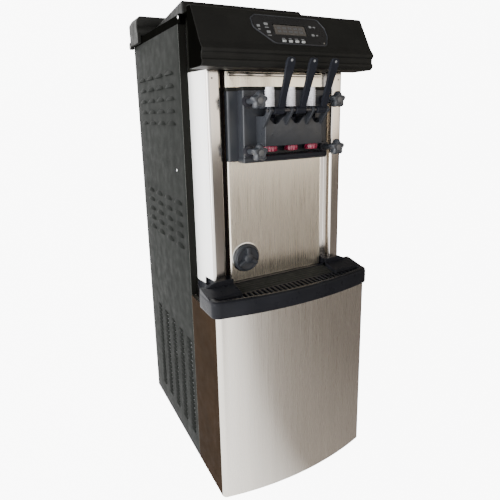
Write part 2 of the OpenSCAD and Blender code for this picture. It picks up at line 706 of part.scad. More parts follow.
// Two steel cylinders with a front flange and a rear bearing housing
module freezing_barrels() color("lightsteelblue") for (sx = [-1, 1]) translate([sx * barrel_x, 0, barrel_z])
    difference() {
        union() {
            y_cyl(0, fascia_y + 0.2, barrel_end_y, 0, barrel_r + 3);
            y_cyl(0, fascia_y + 2, fascia_y + 6, 0, barrel_r + 12);
            y_cyl(0, barrel_end_y - 1, barrel_end_y + 40, 0, 26);
        }
        y_cyl(0, fascia_y - 1, barrel_end_y - 5, 0, barrel_r);
        y_cyl(0, 0, barrel_end_y + 50, 0, shaft_r + 0.05);
        z_cyl(0, hopper_y0 + 40, barrel_r - 8, barrel_r + 10, 12);
    }

module barrel_insulation() color("khaki") difference() {
    block([-barrel_x - 72, front + 8, barrel_z - 72], [barrel_x + 72, barrel_end_y - 6, barrel_z + 70]);
    for (sx = [-1, 1]) {
        y_cyl(sx * barrel_x, front, barrel_end_y, barrel_z, barrel_r + 3.3);
        z_cyl(sx * barrel_x, hopper_y0 + 40, barrel_z + 40, barrel_z + 80, 15.3);
    }
}

// Shaft with spiral paddles and three long scraper blades held on three spiders
module beater(sx) color("white") translate([sx * barrel_x, 0, barrel_z]) {
    y0 = fascia_y + 14;
    y1 = barrel_end_y - 12;
    y_cyl(0, fascia_y + 8, barrel_end_y + 76, 0, shaft_r);
    for (y = [y0, (y0 + y1) / 2, y1 - 6], a = [0, 120, 240])
        translate([0, y, 0]) rotate([0, a, 0]) block([0, 0, -4], [40, 6, 4]);
    for (a = [0, 120, 240])
        rotate([0, a, 0]) block([38, y0, -6], [46, y1, 3]);
    for (i = [0:8])
        translate([0, y0 + 24 + i * (y1 - y0 - 54) / 8, 0]) rotate([0, sx * i * 40, 0])
            rotate([sx * 30, 0, 0]) block([4, -2, -9], [33, 2, 9]);
}
module beater_left() beater(-1);
module beater_right() beater(1);

// ---------- drive ----------

module belt_pulley(x, y, z, r, hole) difference() {
    union() {
        y_cyl(x, y - belt_w / 2, y + belt_w / 2, z, r);
        for (d = [-belt_w / 2 - 2, belt_w / 2]) y_cyl(x, y + d, y + d + 2, z, r + 4);
    }
    y_cyl(x, y - 20, y + 20, z, hole);
}

module pulley_left() color("gray") belt_pulley(-barrel_x, belt_left_y, barrel_z, pulley_r, shaft_r + 0.02);
module pulley_right() color("gray") belt_pulley(barrel_x, belt_right_y, barrel_z, pulley_r, shaft_r + 0.02);

module drive_motor() color("darkslategray") difference() {
    union() {
        y_cyl(0, front + 130, belt_left_y - 24, motor_z, 68);
        block([-75, front + 140, motor_z - 90], [75, belt_left_y - 40, motor_z - 60]);
        block([-half_w + 12, front + 150, motor_z - 93], [half_w - 12, belt_left_y - 50, motor_z - 90]);
        y_cyl(0, front + 122, front + 131, motor_z, 60);
    }
    y_cyl(0, front + 200, belt_left_y, motor_z, 7.05);
}

module motor_pulley() color("silver") {
    y_cyl(0, front + 210, belt_right_y + 14, motor_z, 7);
    for (y = [belt_left_y, belt_right_y]) belt_pulley(0, y, motor_z, motor_pulley_r, 7);
}

// Flat loop around a large and a small pulley
module belt(sx, y) translate([0, y + 4, 0]) rotate([90, 0, 0]) linear_extrude(8) difference() {
    belt_outline(sx, 5);
    belt_outline(sx, 1);
}
module belt_outline(sx, t) hull() {
    translate([sx * barrel_x, barrel_z]) circle(pulley_r + t, $fn = 32);
    translate([0, motor_z]) circle(motor_pulley_r + t, $fn = 32);
}
module drive_belts() color([0.05, 0.05, 0.05]) {
    belt(-1, belt_left_y);
    belt(1, belt_right_y);
}

// ---------- cooling and electrics ----------

module compressor() color("black") translate([95, back - 210, pan_z + 3]) {
    rotate_extrude() polygon([[0, 30], [70, 30], [84, 44], [84, 150], [70, 178], [40, 192], [0, 196]]);
    for (sx = [-1, 1], sy = [-1, 1]) {
        z_cyl(sx * 88, sy * 70, 0, 22, 11);
        z_cyl(sx * 88, sy * 70, 26, 34, 7);
    }
    block([-105, -85, 22], [105, -55, 26]);
    block([-105, 55, 22], [105, 85, 26]);
    block([-60, -85, 22], [60, 85, 31]);
    z_cyl(60, -62, 31, 140, 4);
}

// Finned block beside the left panel with its return bends
module condenser() color("silver") {
    for (y = [fan_y - 148:16:fan_y + 148]) block([-248, y, 66], [-206, y + 4, 424]);
    for (z = [84:30:414], x = [-238, -216]) y_cyl(x, fan_y - 156, fan_y + 158, z, 4.5);
    for (z = [62, 424]) block([-250, fan_y - 150, z], [-204, fan_y + 152, z + 4]);
    for (z = [84:60:384], x = [-238, -216]) translate([x, fan_y - 156, z + 15]) rotate([0, -90, 180])
        rotate_extrude(angle = 180) translate([15, 0]) circle(4.5);
    block([-250, fan_y - 150, pan_z + 24.3], [-204, fan_y + 152, 62]);
}

module condenser_fan() color("gray") translate([fan_x, fan_y, fan_z]) {
    difference() {
        x_cyl(-12, 12, 0, 0, 30);
        x_cyl(-4, 14, 0, 0, 5.02);
    }
    for (a = [0:72:288]) rotate([a, 0, 0]) translate([0, 0, 26]) rotate([0, 0, 28])
        block([-1, -34, 0], [1, 34, fan_r - 32]);
}

// Shroud around the fan, the motor behind it and three arms
module fan_motor() color("dimgray") {
    difference() {
        block([fan_x - 28, fan_y - 150, 66], [fan_x + 16, fan_y + 150, 424]);
        block([fan_x - 30, fan_y - 147, 69], [fan_x + 13, fan_y + 147, 421]);
        x_cyl(fan_x, fan_x + 30, fan_y, fan_z, fan_r + 8);
    }
    x_cyl(fan_x - 3, fan_x + 40, fan_y, fan_z, 5);
    x_cyl(fan_x + 30, fan_x + 90, fan_y, fan_z, 38);
    for (a = [90:120:330]) translate([fan_x + 22, fan_y, fan_z]) rotate([a, 0, 0])
        block([-3, -6, 20], [3, 6, fan_r + 24]);
    for (a = [90:120:330]) translate([fan_x + 22, fan_y, fan_z]) rotate([a, 0, 0])
        block([-7, -8, fan_r + 14], [3, 8, fan_r + 24]);
    x_cyl(fan_x + 18, fan_x + 31, fan_y, fan_z, 30);
}

module control_box() color("lightgray") {
    difference() {
        block([half_w - 92, front + 70, 480], [half_w - 14, front + 300, 690]);
        block([half_w - 90, front + 72, 482], [half_w - 10, front + 298, 688]);
    }
    block([half_w - 84, front + 90, 500], [half_w - 82, front + 280, 670]);
    for (i = [0:3]) block([half_w - 82, front + 105 + i * 42, 560], [half_w - 60, front + 133 + i * 42, 600]);
}

module side_screw(sx, y, z, r)
    translate([sx * half_w, y, z]) rotate([0, sx * 90, 0]) cylinder(r = r, h = 1.8);

module panel_screws() color("whitesmoke") {
    for (sx = [-1, 1]) {
        side_screw(sx, front - 8, roof_z + 16, 4.5);
        side_screw(sx, front + 73, 1002, 4);
    }
    for (x = [-230, 230], z = [60, 620, 1380]) y_cyl(x, back, back + 1.8, z, 4.5);
}

base_pan();
levelling_feet();
frame();
side_panel_left();
side_panel_right();
back_panel();
neck_side_left();
neck_side_right();
fascia();
lower_front_panel();
tray_surround();
drip_pan();
drip_grille();
visor();
control_bezel();
display_window();
button_1();
button_2();
button_3();
button_4();
head_body();
head_gaskets();
knob_upper_left();
knob_upper_right();
knob_lower_left();
knob_lower_right();
head_studs();
lever_rod();
lever_left();
lever_middle();
lever_right();
plunger_left();
plunger_middle();
plunger_right();
nozzle_caps();
spout_shroud();
drawer_knob();
drawer_trough();
drawer_ring();
roof_frame();
hopper_cover();
cover_pins();
hopper_left();
hopper_right();
feed_tubes();
freezing_barrels();
barrel_insulation();
beater_left();
beater_right();
pulley_left();
pulley_right();
drive_motor();
motor_pulley();
drive_belts();
compressor();
condenser();
condenser_fan();
fan_motor();
control_box();
panel_screws();
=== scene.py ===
"""Looks of the soft serve machine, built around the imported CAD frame. Everything is in metres."""
import math

import bmesh
import bpy
from mathutils import Matrix, Vector

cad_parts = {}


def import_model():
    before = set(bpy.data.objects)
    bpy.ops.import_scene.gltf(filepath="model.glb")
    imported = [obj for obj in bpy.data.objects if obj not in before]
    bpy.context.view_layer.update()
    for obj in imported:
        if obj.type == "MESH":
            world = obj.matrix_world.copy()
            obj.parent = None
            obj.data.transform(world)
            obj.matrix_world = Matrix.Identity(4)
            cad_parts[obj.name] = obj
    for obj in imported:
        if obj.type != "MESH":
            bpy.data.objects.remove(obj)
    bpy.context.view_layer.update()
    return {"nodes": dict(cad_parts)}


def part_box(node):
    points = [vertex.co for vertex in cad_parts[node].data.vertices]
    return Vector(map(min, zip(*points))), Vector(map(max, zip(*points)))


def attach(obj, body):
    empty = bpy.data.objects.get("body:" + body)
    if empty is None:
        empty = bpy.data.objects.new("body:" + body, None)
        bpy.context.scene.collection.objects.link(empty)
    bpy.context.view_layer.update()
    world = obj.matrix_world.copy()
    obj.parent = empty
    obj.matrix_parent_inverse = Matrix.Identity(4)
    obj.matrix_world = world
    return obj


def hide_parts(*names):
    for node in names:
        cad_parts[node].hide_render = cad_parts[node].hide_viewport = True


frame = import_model()
NODES = frame["nodes"]
MM = 0.001
SIDES = (-1, 1)


# ---------- places read from the frame ----------

def box(node):
    low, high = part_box(node)
    return Vector(low), Vector(high)


DOOR_LOW, DOOR_HIGH = box("lower_front_panel")
NECK_LOW, NECK_HIGH = box("neck_side_right")
FASCIA_LOW, FASCIA_HIGH = box("fascia")
VISOR_LOW, VISOR_HIGH = box("visor")
HEAD_LOW, HEAD_HIGH = box("head_body")
ROOF_LOW, ROOF_HIGH = box("roof_frame")
GRILLE_LOW, GRILLE_HIGH = box("drip_grille")
ROD_LOW, ROD_HIGH = box("lever_rod")
RING_LOW, RING_HIGH = box("drawer_ring")
COVER_HIGH = box("hopper_cover")[1]

HALF_W = DOOR_HIGH.x
FRONT_Y = box("side_panel_left")[0].y
BACK_Y = box("back_panel")[1].y - 6 * MM
SHEET = 1.5 * MM
THIN_SHEET = 1.2 * MM
GAP = 0.3 * MM
NECK_Y = FRONT_Y - 103 * MM
FASCIA_Y = FRONT_Y - 84 * MM
GROOVE_Y = NECK_Y + 33 * MM
WALL_X = NECK_HIGH.x
COLUMN_OUT = WALL_X - 13 * MM
COLUMN_IN = COLUMN_OUT - 41 * MM
SIDE_TOP = ROOF_LOW.z - GAP
DOOR_TOP = DOOR_HIGH.z
DOOR_CORNER_Y = FRONT_Y - 193 * MM
BOW = 34 * MM
TRAY_HALF = box("tray_surround")[1].x
TRAY_CORNER_Y = DOOR_CORNER_Y - 3 * MM
TRAY_RIM = 20 * MM
RIM_Z = DOOR_TOP + 49 * MM
NECK_BASE = NECK_LOW.z + 21.5 * MM
FASCIA_HALF = FASCIA_HIGH.x
PAN_BACK_Y = FASCIA_Y - 66 * MM
SHOULDER_Y = FASCIA_Y - 13 * MM
PLATE_Y = FRONT_Y - 105 * MM
BODY_Y = FRONT_Y - 139 * MM
NOSE_Y = FRONT_Y - 190 * MM
PIVOT = (ROD_LOW + ROD_HIGH) / 2
CAP = (RING_LOW + RING_HIGH) / 2
PLUNGER_Y = FRONT_Y - 160 * MM
PLUNGER_PITCH = box("plunger_right")[1].x - box("plunger_middle")[1].x
PLUNGER_XS = [k * PLUNGER_PITCH for k in (-1, 0, 1)]


# ---------- mesh helpers ----------

def mm(*values):
    """Numbers or points written in millimetres, as a list in metres."""
    return [v * MM if isinstance(v, (int, float)) else tuple(c * MM for c in v) for v in values]


def around(a, b, *offsets):
    """Outline points at offsets in millimetres from the point (a, b)."""
    return [(a + da * MM, b + db * MM) for da, db in offsets]


def make_object(data, name="part"):
    obj = bpy.data.objects.new(name, data)
    bpy.context.scene.collection.objects.link(obj)
    return obj


def from_bmesh(bm):
    bmesh.ops.recalc_face_normals(bm, faces=bm.faces)
    mesh = bpy.data.meshes.new("part")
    bm.to_mesh(mesh)
    bm.free()
    return make_object(mesh)


def bridge(bm, first, second, closed=False):
    """Quads between two rows of vertices of the same length."""
    count = len(first)
    faces = []
    for i in range(count if closed else count - 1):
        j = (i + 1) % count
        faces.append(bm.faces.new((first[i], first[j], second[j], second[i])))
    return faces


def final_mesh(obj):
    """The mesh that an object has after its modifiers."""
    deps = bpy.context.evaluated_depsgraph_get()
    return bpy.data.meshes.new_from_object(obj.evaluated_get(deps))


def settle(obj):
    """Turns an object's modifiers into plain mesh."""
    mesh = final_mesh(obj)
    obj.modifiers.clear()
    obj.data = mesh
    return obj


def smooth(obj, angle=35):
    mesh = obj.data
    mesh.polygons.foreach_set("use_smooth", [True] * len(mesh.polygons))
    mesh.set_sharp_from_angle(angle=math.radians(angle))
    return obj


def flat_shaded(obj):
    """Keeps large flat faces flat beside rounded edges."""
    mod = obj.modifiers.new("flat", "WEIGHTED_NORMAL")
    mod.keep_sharp = True
    return settle(obj)


def bevelled(obj, width, segments=3, angle=28):
    """Rounds every edge sharper than the angle and leaves flat faces flat."""
    mod = obj.modifiers.new("round", "BEVEL")
    mod.width = width
    mod.segments = segments
    mod.limit_method = "ANGLE"
    mod.angle_limit = math.radians(angle)
    settle(obj)
    obj.data.polygons.foreach_set("use_smooth", [True] * len(obj.data.polygons))
    return flat_shaded(obj)


def thickened(obj, thickness):
    """Gives a sheet of faces its thickness, inwards."""
    mod = obj.modifiers.new("sheet", "SOLIDIFY")
    mod.thickness = thickness
    mod.offset = -1
    return obj


AXES = {"x": (1, 2, 0), "y": (0, 2, 1), "z": (0, 1, 2)}


def placed(axis, a, b, along):
    """A point from two outline coordinates and its place along the axis."""
    out = [0.0, 0.0, 0.0]
    i, j, k = AXES[axis]
    out[i], out[j], out[k] = a, b, along
    return out


def prism(outline, axis, low, high, bevel=0.0, segments=3):
    """A closed outline pulled along an axis from low to high."""
    bm = bmesh.new()
    lower, upper = ([bm.verts.new(placed(axis, a, b, end)) for a, b in outline]
                    for end in (low, high))
    bm.faces.new(lower)
    bm.faces.new(list(reversed(upper)))
    bridge(bm, lower, upper, closed=True)
    obj = from_bmesh(bm)
    if bevel:
        return bevelled(obj, bevel, segments)
    return smooth(obj)


def block(low, high, bevel=1 * MM, segments=3):
    outline = [(low[0], low[1]), (high[0], low[1]), (high[0], high[1]), (low[0], high[1])]
    return prism(outline, "z", low[2], high[2], bevel, segments)


def span(side, near, far):
    """An x range on one side of the machine, low end first; side is -1 or 1."""
    return sorted((side * near, side * far))


def side_block(side, xs, ys, zs, bevel, segments=3):
    """A block given by its ranges, with x mirrored to the side."""
    low_x, high_x = span(side, *xs)
    return block((low_x, ys[0], zs[0]), (high_x, ys[1], zs[1]), bevel, segments)


def lathe(profile, axis, centre, segments=48, shape=None):
    """Turns (radius, place) pairs about an axis; shape(angle, radius) may flute the radius."""
    bm = bmesh.new()
    i, j, k = AXES[axis]
    rings = []
    for radius, place in profile:
        ring = []
        for s in range(segments):
            angle = 2 * math.pi * s / segments
            r = shape(angle, radius) if shape else radius
            ring.append(bm.verts.new(placed(axis, centre[i] + r * math.cos(angle),
                                            centre[j] + r * math.sin(angle), centre[k] + place)))
        rings.append(ring)
    for lower, upper in zip(rings, rings[1:]):
        bridge(bm, lower, upper, closed=True)
    bm.faces.new(rings[0])
    bm.faces.new(rings[-1])
    return smooth(from_bmesh(bm), 40)


def drill(radius, low, high, axis, centre, segments=40):
    """A plain round cutter."""
    return lathe([(radius, low), (radius, high)], axis, centre, segments)


def plunger_drills(radius, low, high):
    return [drill(radius, low, high, "z", (x, PLUNGER_Y, 0)) for x in PLUNGER_XS]


def bead(points, radius):
    """A round bead that follows a closed loop of points."""
    curve = bpy.data.curves.new("bead", "CURVE")
    curve.dimensions = "3D"
    curve.bevel_depth = radius
    curve.bevel_resolution = 2
    spline = curve.splines.new("POLY")
    spline.points.add(len(points) - 1)
    for point, place in zip(spline.points, points):
        point.co = (*place, 1)
    spline.use_cyclic_u = True
    obj = make_object(curve)
    mesh = final_mesh(obj)
    bpy.data.objects.remove(obj)
    return smooth(make_object(mesh), 60)


def cut(obj, *cutters):
    """Takes the cutters out of an object."""
    for cutter in cutters:
        mod = obj.modifiers.new("cut", "BOOLEAN")
        mod.operation = "DIFFERENCE"
        mod.solver = "EXACT"
        mod.object = cutter
    settle(obj)
    for cutter in cutters:
        bpy.data.objects.remove(cutter)
    return smooth(obj)


def joined(objects):
    """Puts several meshes into one object and keeps each one's materials."""
    bm = bmesh.new()
    materials = []
    for obj in objects:
        start = len(bm.faces)
        bm.from_mesh(obj.data)
        bm.faces.ensure_lookup_table()
        slots = list(obj.data.materials)
        materials += [m for m in slots if m not in materials]
        for face in bm.faces[start:]:
            face.material_index = materials.index(slots[face.material_index])
        bpy.data.objects.remove(obj)
    mesh = bpy.data.meshes.new("part")
    bm.to_mesh(mesh)
    bm.free()
    for m in materials:
        mesh.materials.append(m)
    mesh.set_sharp_from_angle(angle=math.radians(38))
    return make_object(mesh)


def painted(obj, *materials):
    """Gives an object its materials; its faces use the first until told otherwise."""
    obj.data.materials.clear()
    for material in materials:
        obj.data.materials.append(material)
    return obj


def all_painted(objects, key):
    return [painted(obj, M[key]) for obj in objects]


def piece(obj, name, body, slot, *nodes):
    """Names a finished piece, attaches it to what it rides on and hides its CAD nodes; the finish
    given as slot is not used.
    """
    obj.name = name
    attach(obj, body)
    if nodes:
        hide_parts(*nodes)
    return obj


def arc(cx, cy, radius, start, end, steps):
    """Points on an arc, angles in degrees."""
    out = []
    for i in range(steps + 1):
        a = math.radians(start + (end - start) * i / steps)
        out.append((cx + radius * math.cos(a), cy + radius * math.sin(a)))
    return out


def rounded(outline, radius, steps=5):
    """Rounds the corners of a closed outline; radius may be a list with one value a corner."""
    out = []
    count = len(outline)
    for i, corner in enumerate(outline):
        r = radius[i] if isinstance(radius, list) else radius
        p = Vector(corner)
        a = Vector(outline[i - 1]) - p
        b = Vector(outline[(i + 1) % count]) - p
        if r <= 0:
            out.append(tuple(p))
            continue
        half = a.angle(b) / 2
        reach = min(r / math.tan(half), 0.49 * a.length, 0.49 * b.length)
        start = p + a.normalized() * reach
        end = p + b.normalized() * reach
        for s in range(steps + 1):
            t = s / steps
            out.append(tuple(start * (1 - t) ** 2 + p * 2 * t * (1 - t) + end * t ** 2))
    return out


def rectangle(cx, cy, w, h):
    return [(cx - w / 2, cy - h / 2), (cx + w / 2, cy - h / 2), (cx + w / 2, cy + h / 2),
            (cx - w / 2, cy + h / 2)]


def loop_at(outline, z):
    return [(x, y, z) for x, y in outline]


# ---------- materials ----------

MIX_A, MIX_B, MIX_RESULT = 6, 7, 2  # the mix node's colour sockets


def fill(node, **inputs):
    """Gives each named input a value, or a link from another node's output."""
    for key, value in inputs.items():
        socket = node.inputs[key.replace("_", " ")]
        if isinstance(value, bpy.types.NodeSocket):
            node.id_data.links.new(value, socket)
        else:
            socket.default_value = value
    return node


def add_node(tree, kind, **inputs):
    return fill(tree.nodes.new("ShaderNode" + kind), **inputs)


def mapped(tree, value, start, end, low=0.0, high=1.0):
    return add_node(tree, "MapRange", Value=value, From_Min=start, From_Max=end, To_Min=low,
                    To_Max=high).outputs["Result"]


def colour_ramp(tree, value, stops):
    """Colours by place from 0 to 1; a colour written as one number is a grey."""
    node = add_node(tree, "ValToRGB", Fac=value)
    elements = node.color_ramp.elements
    while len(elements) < len(stops):
        elements.new(0.5)
    for element, (place, colour) in zip(elements, stops):
        element.position = place
        element.color = (*colour, 1) if isinstance(colour, tuple) else (colour, colour, colour, 1)
    return node.outputs["Color"]


def colour_mix(tree, share, a, b, mode="MIX"):
    """Mixes output a with b, which is an output or a colour."""
    node = tree.nodes.new("ShaderNodeMix")
    node.data_type = "RGBA"
    node.blend_type = mode
    fill(node, Factor=share)
    tree.links.new(a, node.inputs[MIX_A])
    if isinstance(b, tuple):
        node.inputs[MIX_B].default_value = (*b, 1)
    else:
        tree.links.new(b, node.inputs[MIX_B])
    return node.outputs[MIX_RESULT]


class Nodes:
    """Short names for building one material's node tree."""

    def __init__(self, name):
        self.material = bpy.data.materials.new(name)
        self.material.use_nodes = True
        self.tree = self.material.node_tree
        self.coords = self.add("TexCoord").outputs["Object"]

    def add(self, kind, **inputs):
        return add_node(self.tree, kind, **inputs)

    def set(self, **inputs):
        fill(self.tree.nodes["Principled BSDF"], **inputs)

    def noise(self, scale, stretch=(1, 1, 1), detail=4, rough=0.5):
        mapping = self.add("Mapping", Vector=self.coords, Scale=stretch)
        return self.add("TexNoise", Vector=mapping.outputs["Vector"], Scale=scale, Detail=detail,
                        Roughness=rough).outputs["Fac"]

    def ramp(self, value, *stops):
        return colour_ramp(self.tree, value, stops)

    def spread(self, value, low, high):
        """Stretches the middle of a noise over low to high."""
        return mapped(self.tree, value, 0.3, 0.7, low, high)

    def bump(self, value, strength, distance):
        node = self.add("Bump", Height=value, Strength=strength, Distance=distance)
        self.set(Normal=node.outputs["Normal"])


def tones(colour, amount):
    """A darker and a lighter neighbour of a colour."""
    return (tuple(c * (1 - amount) for c in colour),
            tuple(min(1.0, c * (1 + amount)) for c in colour))


def brushed(name, colour, rough, grain=(900, 900, 6), tone=0.06, strength=0.25, metal=1.0):
    """Sheet steel with a fine grain along one direction."""
    n = Nodes(name)
    fine = n.noise(1.0, grain, detail=6, rough=0.6)
    broad = n.noise(1.0, tuple(g / 18 for g in grain), detail=3)
    dark, light = tones(colour, tone)
    base = n.ramp(fine, (0.3, dark), (0.7, light))
    dull = n.ramp(broad, (0.25, tones((1, 1, 1), tone * 1.4)[0]), (0.75, 1))
    n.set(Metallic=metal, Base_Color=colour_mix(n.tree, 1.0, base, dull, "MULTIPLY"),
          Roughness=n.spread(fine, rough * 0.8, rough * 1.25))
    n.bump(fine, strength, 0.00012)
    return n.material


def coated(name, colour, rough, tone=0.12, shine=0.3):
    """Powder coat: orange peel, slight mottling and handling marks."""
    n = Nodes(name)
    cloud = n.noise(9, (1, 1, 0.6), detail=5)
    dark, light = tones(colour, tone)
    n.set(Base_Color=n.ramp(cloud, (0.3, dark), (0.7, light)), Specular_IOR_Level=shine,
          Roughness=n.spread(n.noise(30, detail=6), rough * 0.85, rough * 1.2))
    n.bump(n.noise(900, detail=2), 0.12, 0.0003)
    return n.material


def moulded(name, colour, rough, grain=1400, tone=0.14, strength=0.06, coat=0.0, shine=0.5):
    """Injection-moulded plastic: fine texture, faint haze and gloss changes."""
    n = Nodes(name)
    haze = n.noise(14, detail=5)
    dark, light = tones(colour, tone)
    n.set(Base_Color=n.ramp(haze, (0.3, dark), (0.72, light)), Specular_IOR_Level=shine,
          Roughness=n.spread(n.noise(40, detail=4), rough * 0.8, rough * 1.25), Coat_Weight=coat,
          Coat_Roughness=0.12)
    n.bump(n.noise(grain, detail=3), strength, 0.0002)
    return n.material


def display_glass():
    """Grey liquid crystal with faint rows of cells."""
    n = Nodes("display")
    wave = n.add("TexWave", Vector=n.coords, Scale=140, Distortion=0.0)
    stripes = n.ramp(wave.outputs["Fac"], (0.35, (0.045, 0.041, 0.037)),
                     (0.65, (0.066, 0.061, 0.055)))
    cloud = colour_mix(n.tree, n.spread(n.noise(60), 0.2, 0.8), stripes, (0.072, 0.066, 0.06))
    n.set(Base_Color=cloud, Roughness=n.spread(n.noise(80), 0.12, 0.22), Specular_IOR_Level=0.25)
    return n.material


M = {
    "steel": brushed("brushed_stainless", (0.62, 0.585, 0.53), 0.27, tone=0.045, strength=0.16),
    "fascia": brushed("brushed_stainless_warm", (0.97, 0.90, 0.775), 0.27, tone=0.035,
                      strength=0.1),
    # painted light: the right column's front has its own copy of the polished steel, its colour set
    # apart from the left column's copy for how light falls on each side
    "column_right_painted_light": brushed("polished_stainless_right_painted_light", (0.62, 0.57, 0.525), 0.14, tone=0.04,
                          strength=0.12),
    "column": brushed("polished_stainless", (0.56, 0.53, 0.50), 0.14, tone=0.04, strength=0.12),
    "inside_steel": brushed("hopper_stainless", (0.66, 0.65, 0.63), 0.22, grain=(7, 7, 700)),
    "zinc": brushed("zinc_steel", (0.50, 0.51, 0.52), 0.38, grain=(60, 60, 60)),
    "bright": brushed("bright_steel", (0.74, 0.74, 0.73), 0.13, grain=(500, 500, 500), tone=0.03),
    "turned": brushed("turned_aluminium", (0.55, 0.56, 0.57), 0.3, grain=(300, 300, 300)),
    "fins": brushed("fin_aluminium", (0.62, 0.63, 0.64), 0.35, grain=(200, 900, 200)),
    "panel": coated("painted_panel", (0.0092, 0.0101, 0.0091), 0.45, shine=0.01),
    # painted highlight: a lighter coat for the side panels' rounded front fold, standing in for
    # light caught on the bend
    "fold": coated("fold_highlight_painted", (0.12, 0.13, 0.12), 0.4, shine=0.1),
    # painted shade: a darker coat for the side panels' front-facing flange and for the neck wall
    # behind the visor
    "panel_painted_shade": coated("painted_shade_coat", (0.007, 0.007, 0.006), 0.5, shine=0.03),
    # painted reflection: a dull brown coat on the door's stainless side returns stands in for the
    # dark brown surroundings they reflect
    "return": coated("return_painted_reflection", (0.017, 0.0101, 0.0056), 0.5, tone=0.2, shine=0.004),
    "rod": brushed("rod_steel", (0.13, 0.13, 0.14), 0.3, grain=(90, 90, 90), tone=0.3),
    # partly painted reflection: the neck's outer walls are stainless, given a near-white, partly
    # diffuse colour that stands in for their mirror reflection of the bright surroundings at the
    # left
    "wall": brushed("painted_reflection_satin_steel", (0.96, 0.955, 0.94), 0.45, tone=0.03, metal=0.35),
    # painted shade: a near-black coat for the left column's groove and its inward faces, dark as
    # the shaded recess
    "groove": coated("groove_painted_shade", (0.008, 0.0065, 0.006), 0.4, tone=0.2, shine=0.0),
    "machine": coated("machine_dark", (0.03, 0.032, 0.035), 0.5),
    "black": moulded("black_moulding", (0.0098, 0.0098, 0.009), 0.5, shine=0.09),
    "soft_black": moulded("black_matt", (0.026, 0.0265, 0.024), 0.6, shine=0.05),
    "skirt": moulded("skirt_black", (0.0018, 0.0018, 0.0015), 0.6, shine=0.0),
    # painted shade: a darker, shineless copy of the black moulding for the visor's end faces
    "end_cap": moulded("end_face_painted_shade", (0.0012, 0.0012, 0.001), 0.6, shine=0.0),
    "tray": moulded("tray_black", (0.011, 0.0115, 0.0140), 0.3, shine=0.06),
    "bezel": moulded("bezel_black", (0.014, 0.014, 0.0145), 0.3, shine=0.15, strength=0.02),
    "head": moulded("head_black", (0.021, 0.023, 0.0275), 0.34, shine=0.35),
    "knob": moulded("knob_black", (0.012, 0.012, 0.016), 0.35, coat=0.1, shine=0.3),
    "star": moulded("knob_grey", (0.026, 0.0285, 0.034), 0.36, coat=0.1, shine=0.35),
    "lever": moulded("lever_black", (0.009, 0.010, 0.014), 0.45, shine=0.12),
    "rubber": moulded("rubber_black", (0.02, 0.02, 0.02), 0.75, strength=0.2),
    "white": moulded("white_plastic", (0.80, 0.79, 0.83), 0.34, tone=0.04),
    "red": moulded("nozzle_red", (0.20, 0.008, 0.035), 0.25, coat=0.35),
    "foam": moulded("foam", (0.70, 0.60, 0.36), 0.9, grain=300, strength=0.6),
    "key": moulded("button_white", (0.33, 0.34, 0.34), 0.4, tone=0.05),
    # painted shade: near-black sheets closing the louvre and inlet openings
    "opening_painted_shade": moulded("painted_shade_gap", (0.004, 0.004, 0.004), 0.9),
    "mark": moulded("indicator_grey", (0.17, 0.175, 0.18), 0.45, tone=0.05),
    "mark_dark": moulded("dark_grey", (0.06, 0.06, 0.062), 0.35, tone=0.08),
    "display": display_glass(),
}

CARRIED = {
    "zinc": ["base_pan", "frame", "control_box"],
    "rubber": ["levelling_feet", "head_gaskets", "drive_belts"],
    "panel": ["back_panel"],
    "tray": ["drip_pan"],
    "inside_steel": ["hopper_left", "hopper_right", "freezing_barrels"],
    "bright": ["head_studs", "cover_pins"],
    "rod": ["lever_rod"],
    "white": ["feed_tubes", "drawer_trough", "beater_left", "beater_right"],
    "foam": ["barrel_insulation"],
    "turned": ["pulley_left", "pulley_right", "motor_pulley"],
    "machine": ["drive_motor", "compressor", "fan_motor", "condenser_fan"],
    "fins": ["condenser"],
}
for key, names in CARRIED.items():
    for node_name in names:
        node = NODES[node_name]
        if node.material_slots:
            node.material_slots[0].material = M[key]
        else:
            node.data.materials.append(M[key])


# ---------- bowed outlines ----------

def bow_y(x, half, corner_y, bow=BOW):
    """How far forward a bowed front is at x."""
    radius = (half * half + bow * bow) / (2 * bow)
    return corner_y - bow + radius - math.sqrt(radius * radius - x * x)


def bow_path(half, back_y, corner_y, corner, steps=36, turn=8):
    """Open path in plan from the back left, round the bowed front, to the back right."""
    inner = half - corner
    base = bow_y(inner, half, corner_y) + corner
    left = []
    for i in range(turn + 1):
        a = math.radians(180 + 90 * i / turn)
        left.append((-inner + corner * math.cos(a), base + corner * math.sin(a)))
    middle = []
    for i in range(1, steps):
        x = -inner + 2 * inner * i / steps
        middle.append((x, bow_y(x, half, corner_y)))
    right = [(-x, y) for x, y in reversed(left)]
    return [(-half, back_y)] + left + middle + right + [(half, back_y)]


def sheet_along(path, z0, z1, thickness, hem=0.0):
    """Folded sheet that stands along a plan path, with hems turned inwards at top and bottom."""
    bm = bmesh.new()
    low_ring, high_ring = ([bm.verts.new((x, y, z)) for x, y in path] for z in (z0, z1))
    bridge(bm, low_ring, high_ring)
    if hem:
        for ring, z in ((low_ring, z0), (high_ring, z1)):
            inner = []
            for i, (x, y) in enumerate(path):
                before = Vector(path[max(i - 1, 0)])
                after = Vector(path[min(i + 1, len(path) - 1)])
                along = (after - before).normalized()
                inner.append(bm.verts.new((x - along.y * hem, y + along.x * hem, z)))
            bridge(bm, ring, inner)
    bmesh.ops.remove_doubles(bm, verts=bm.verts, dist=1e-6)
    return settle(thickened(from_bmesh(bm), thickness))


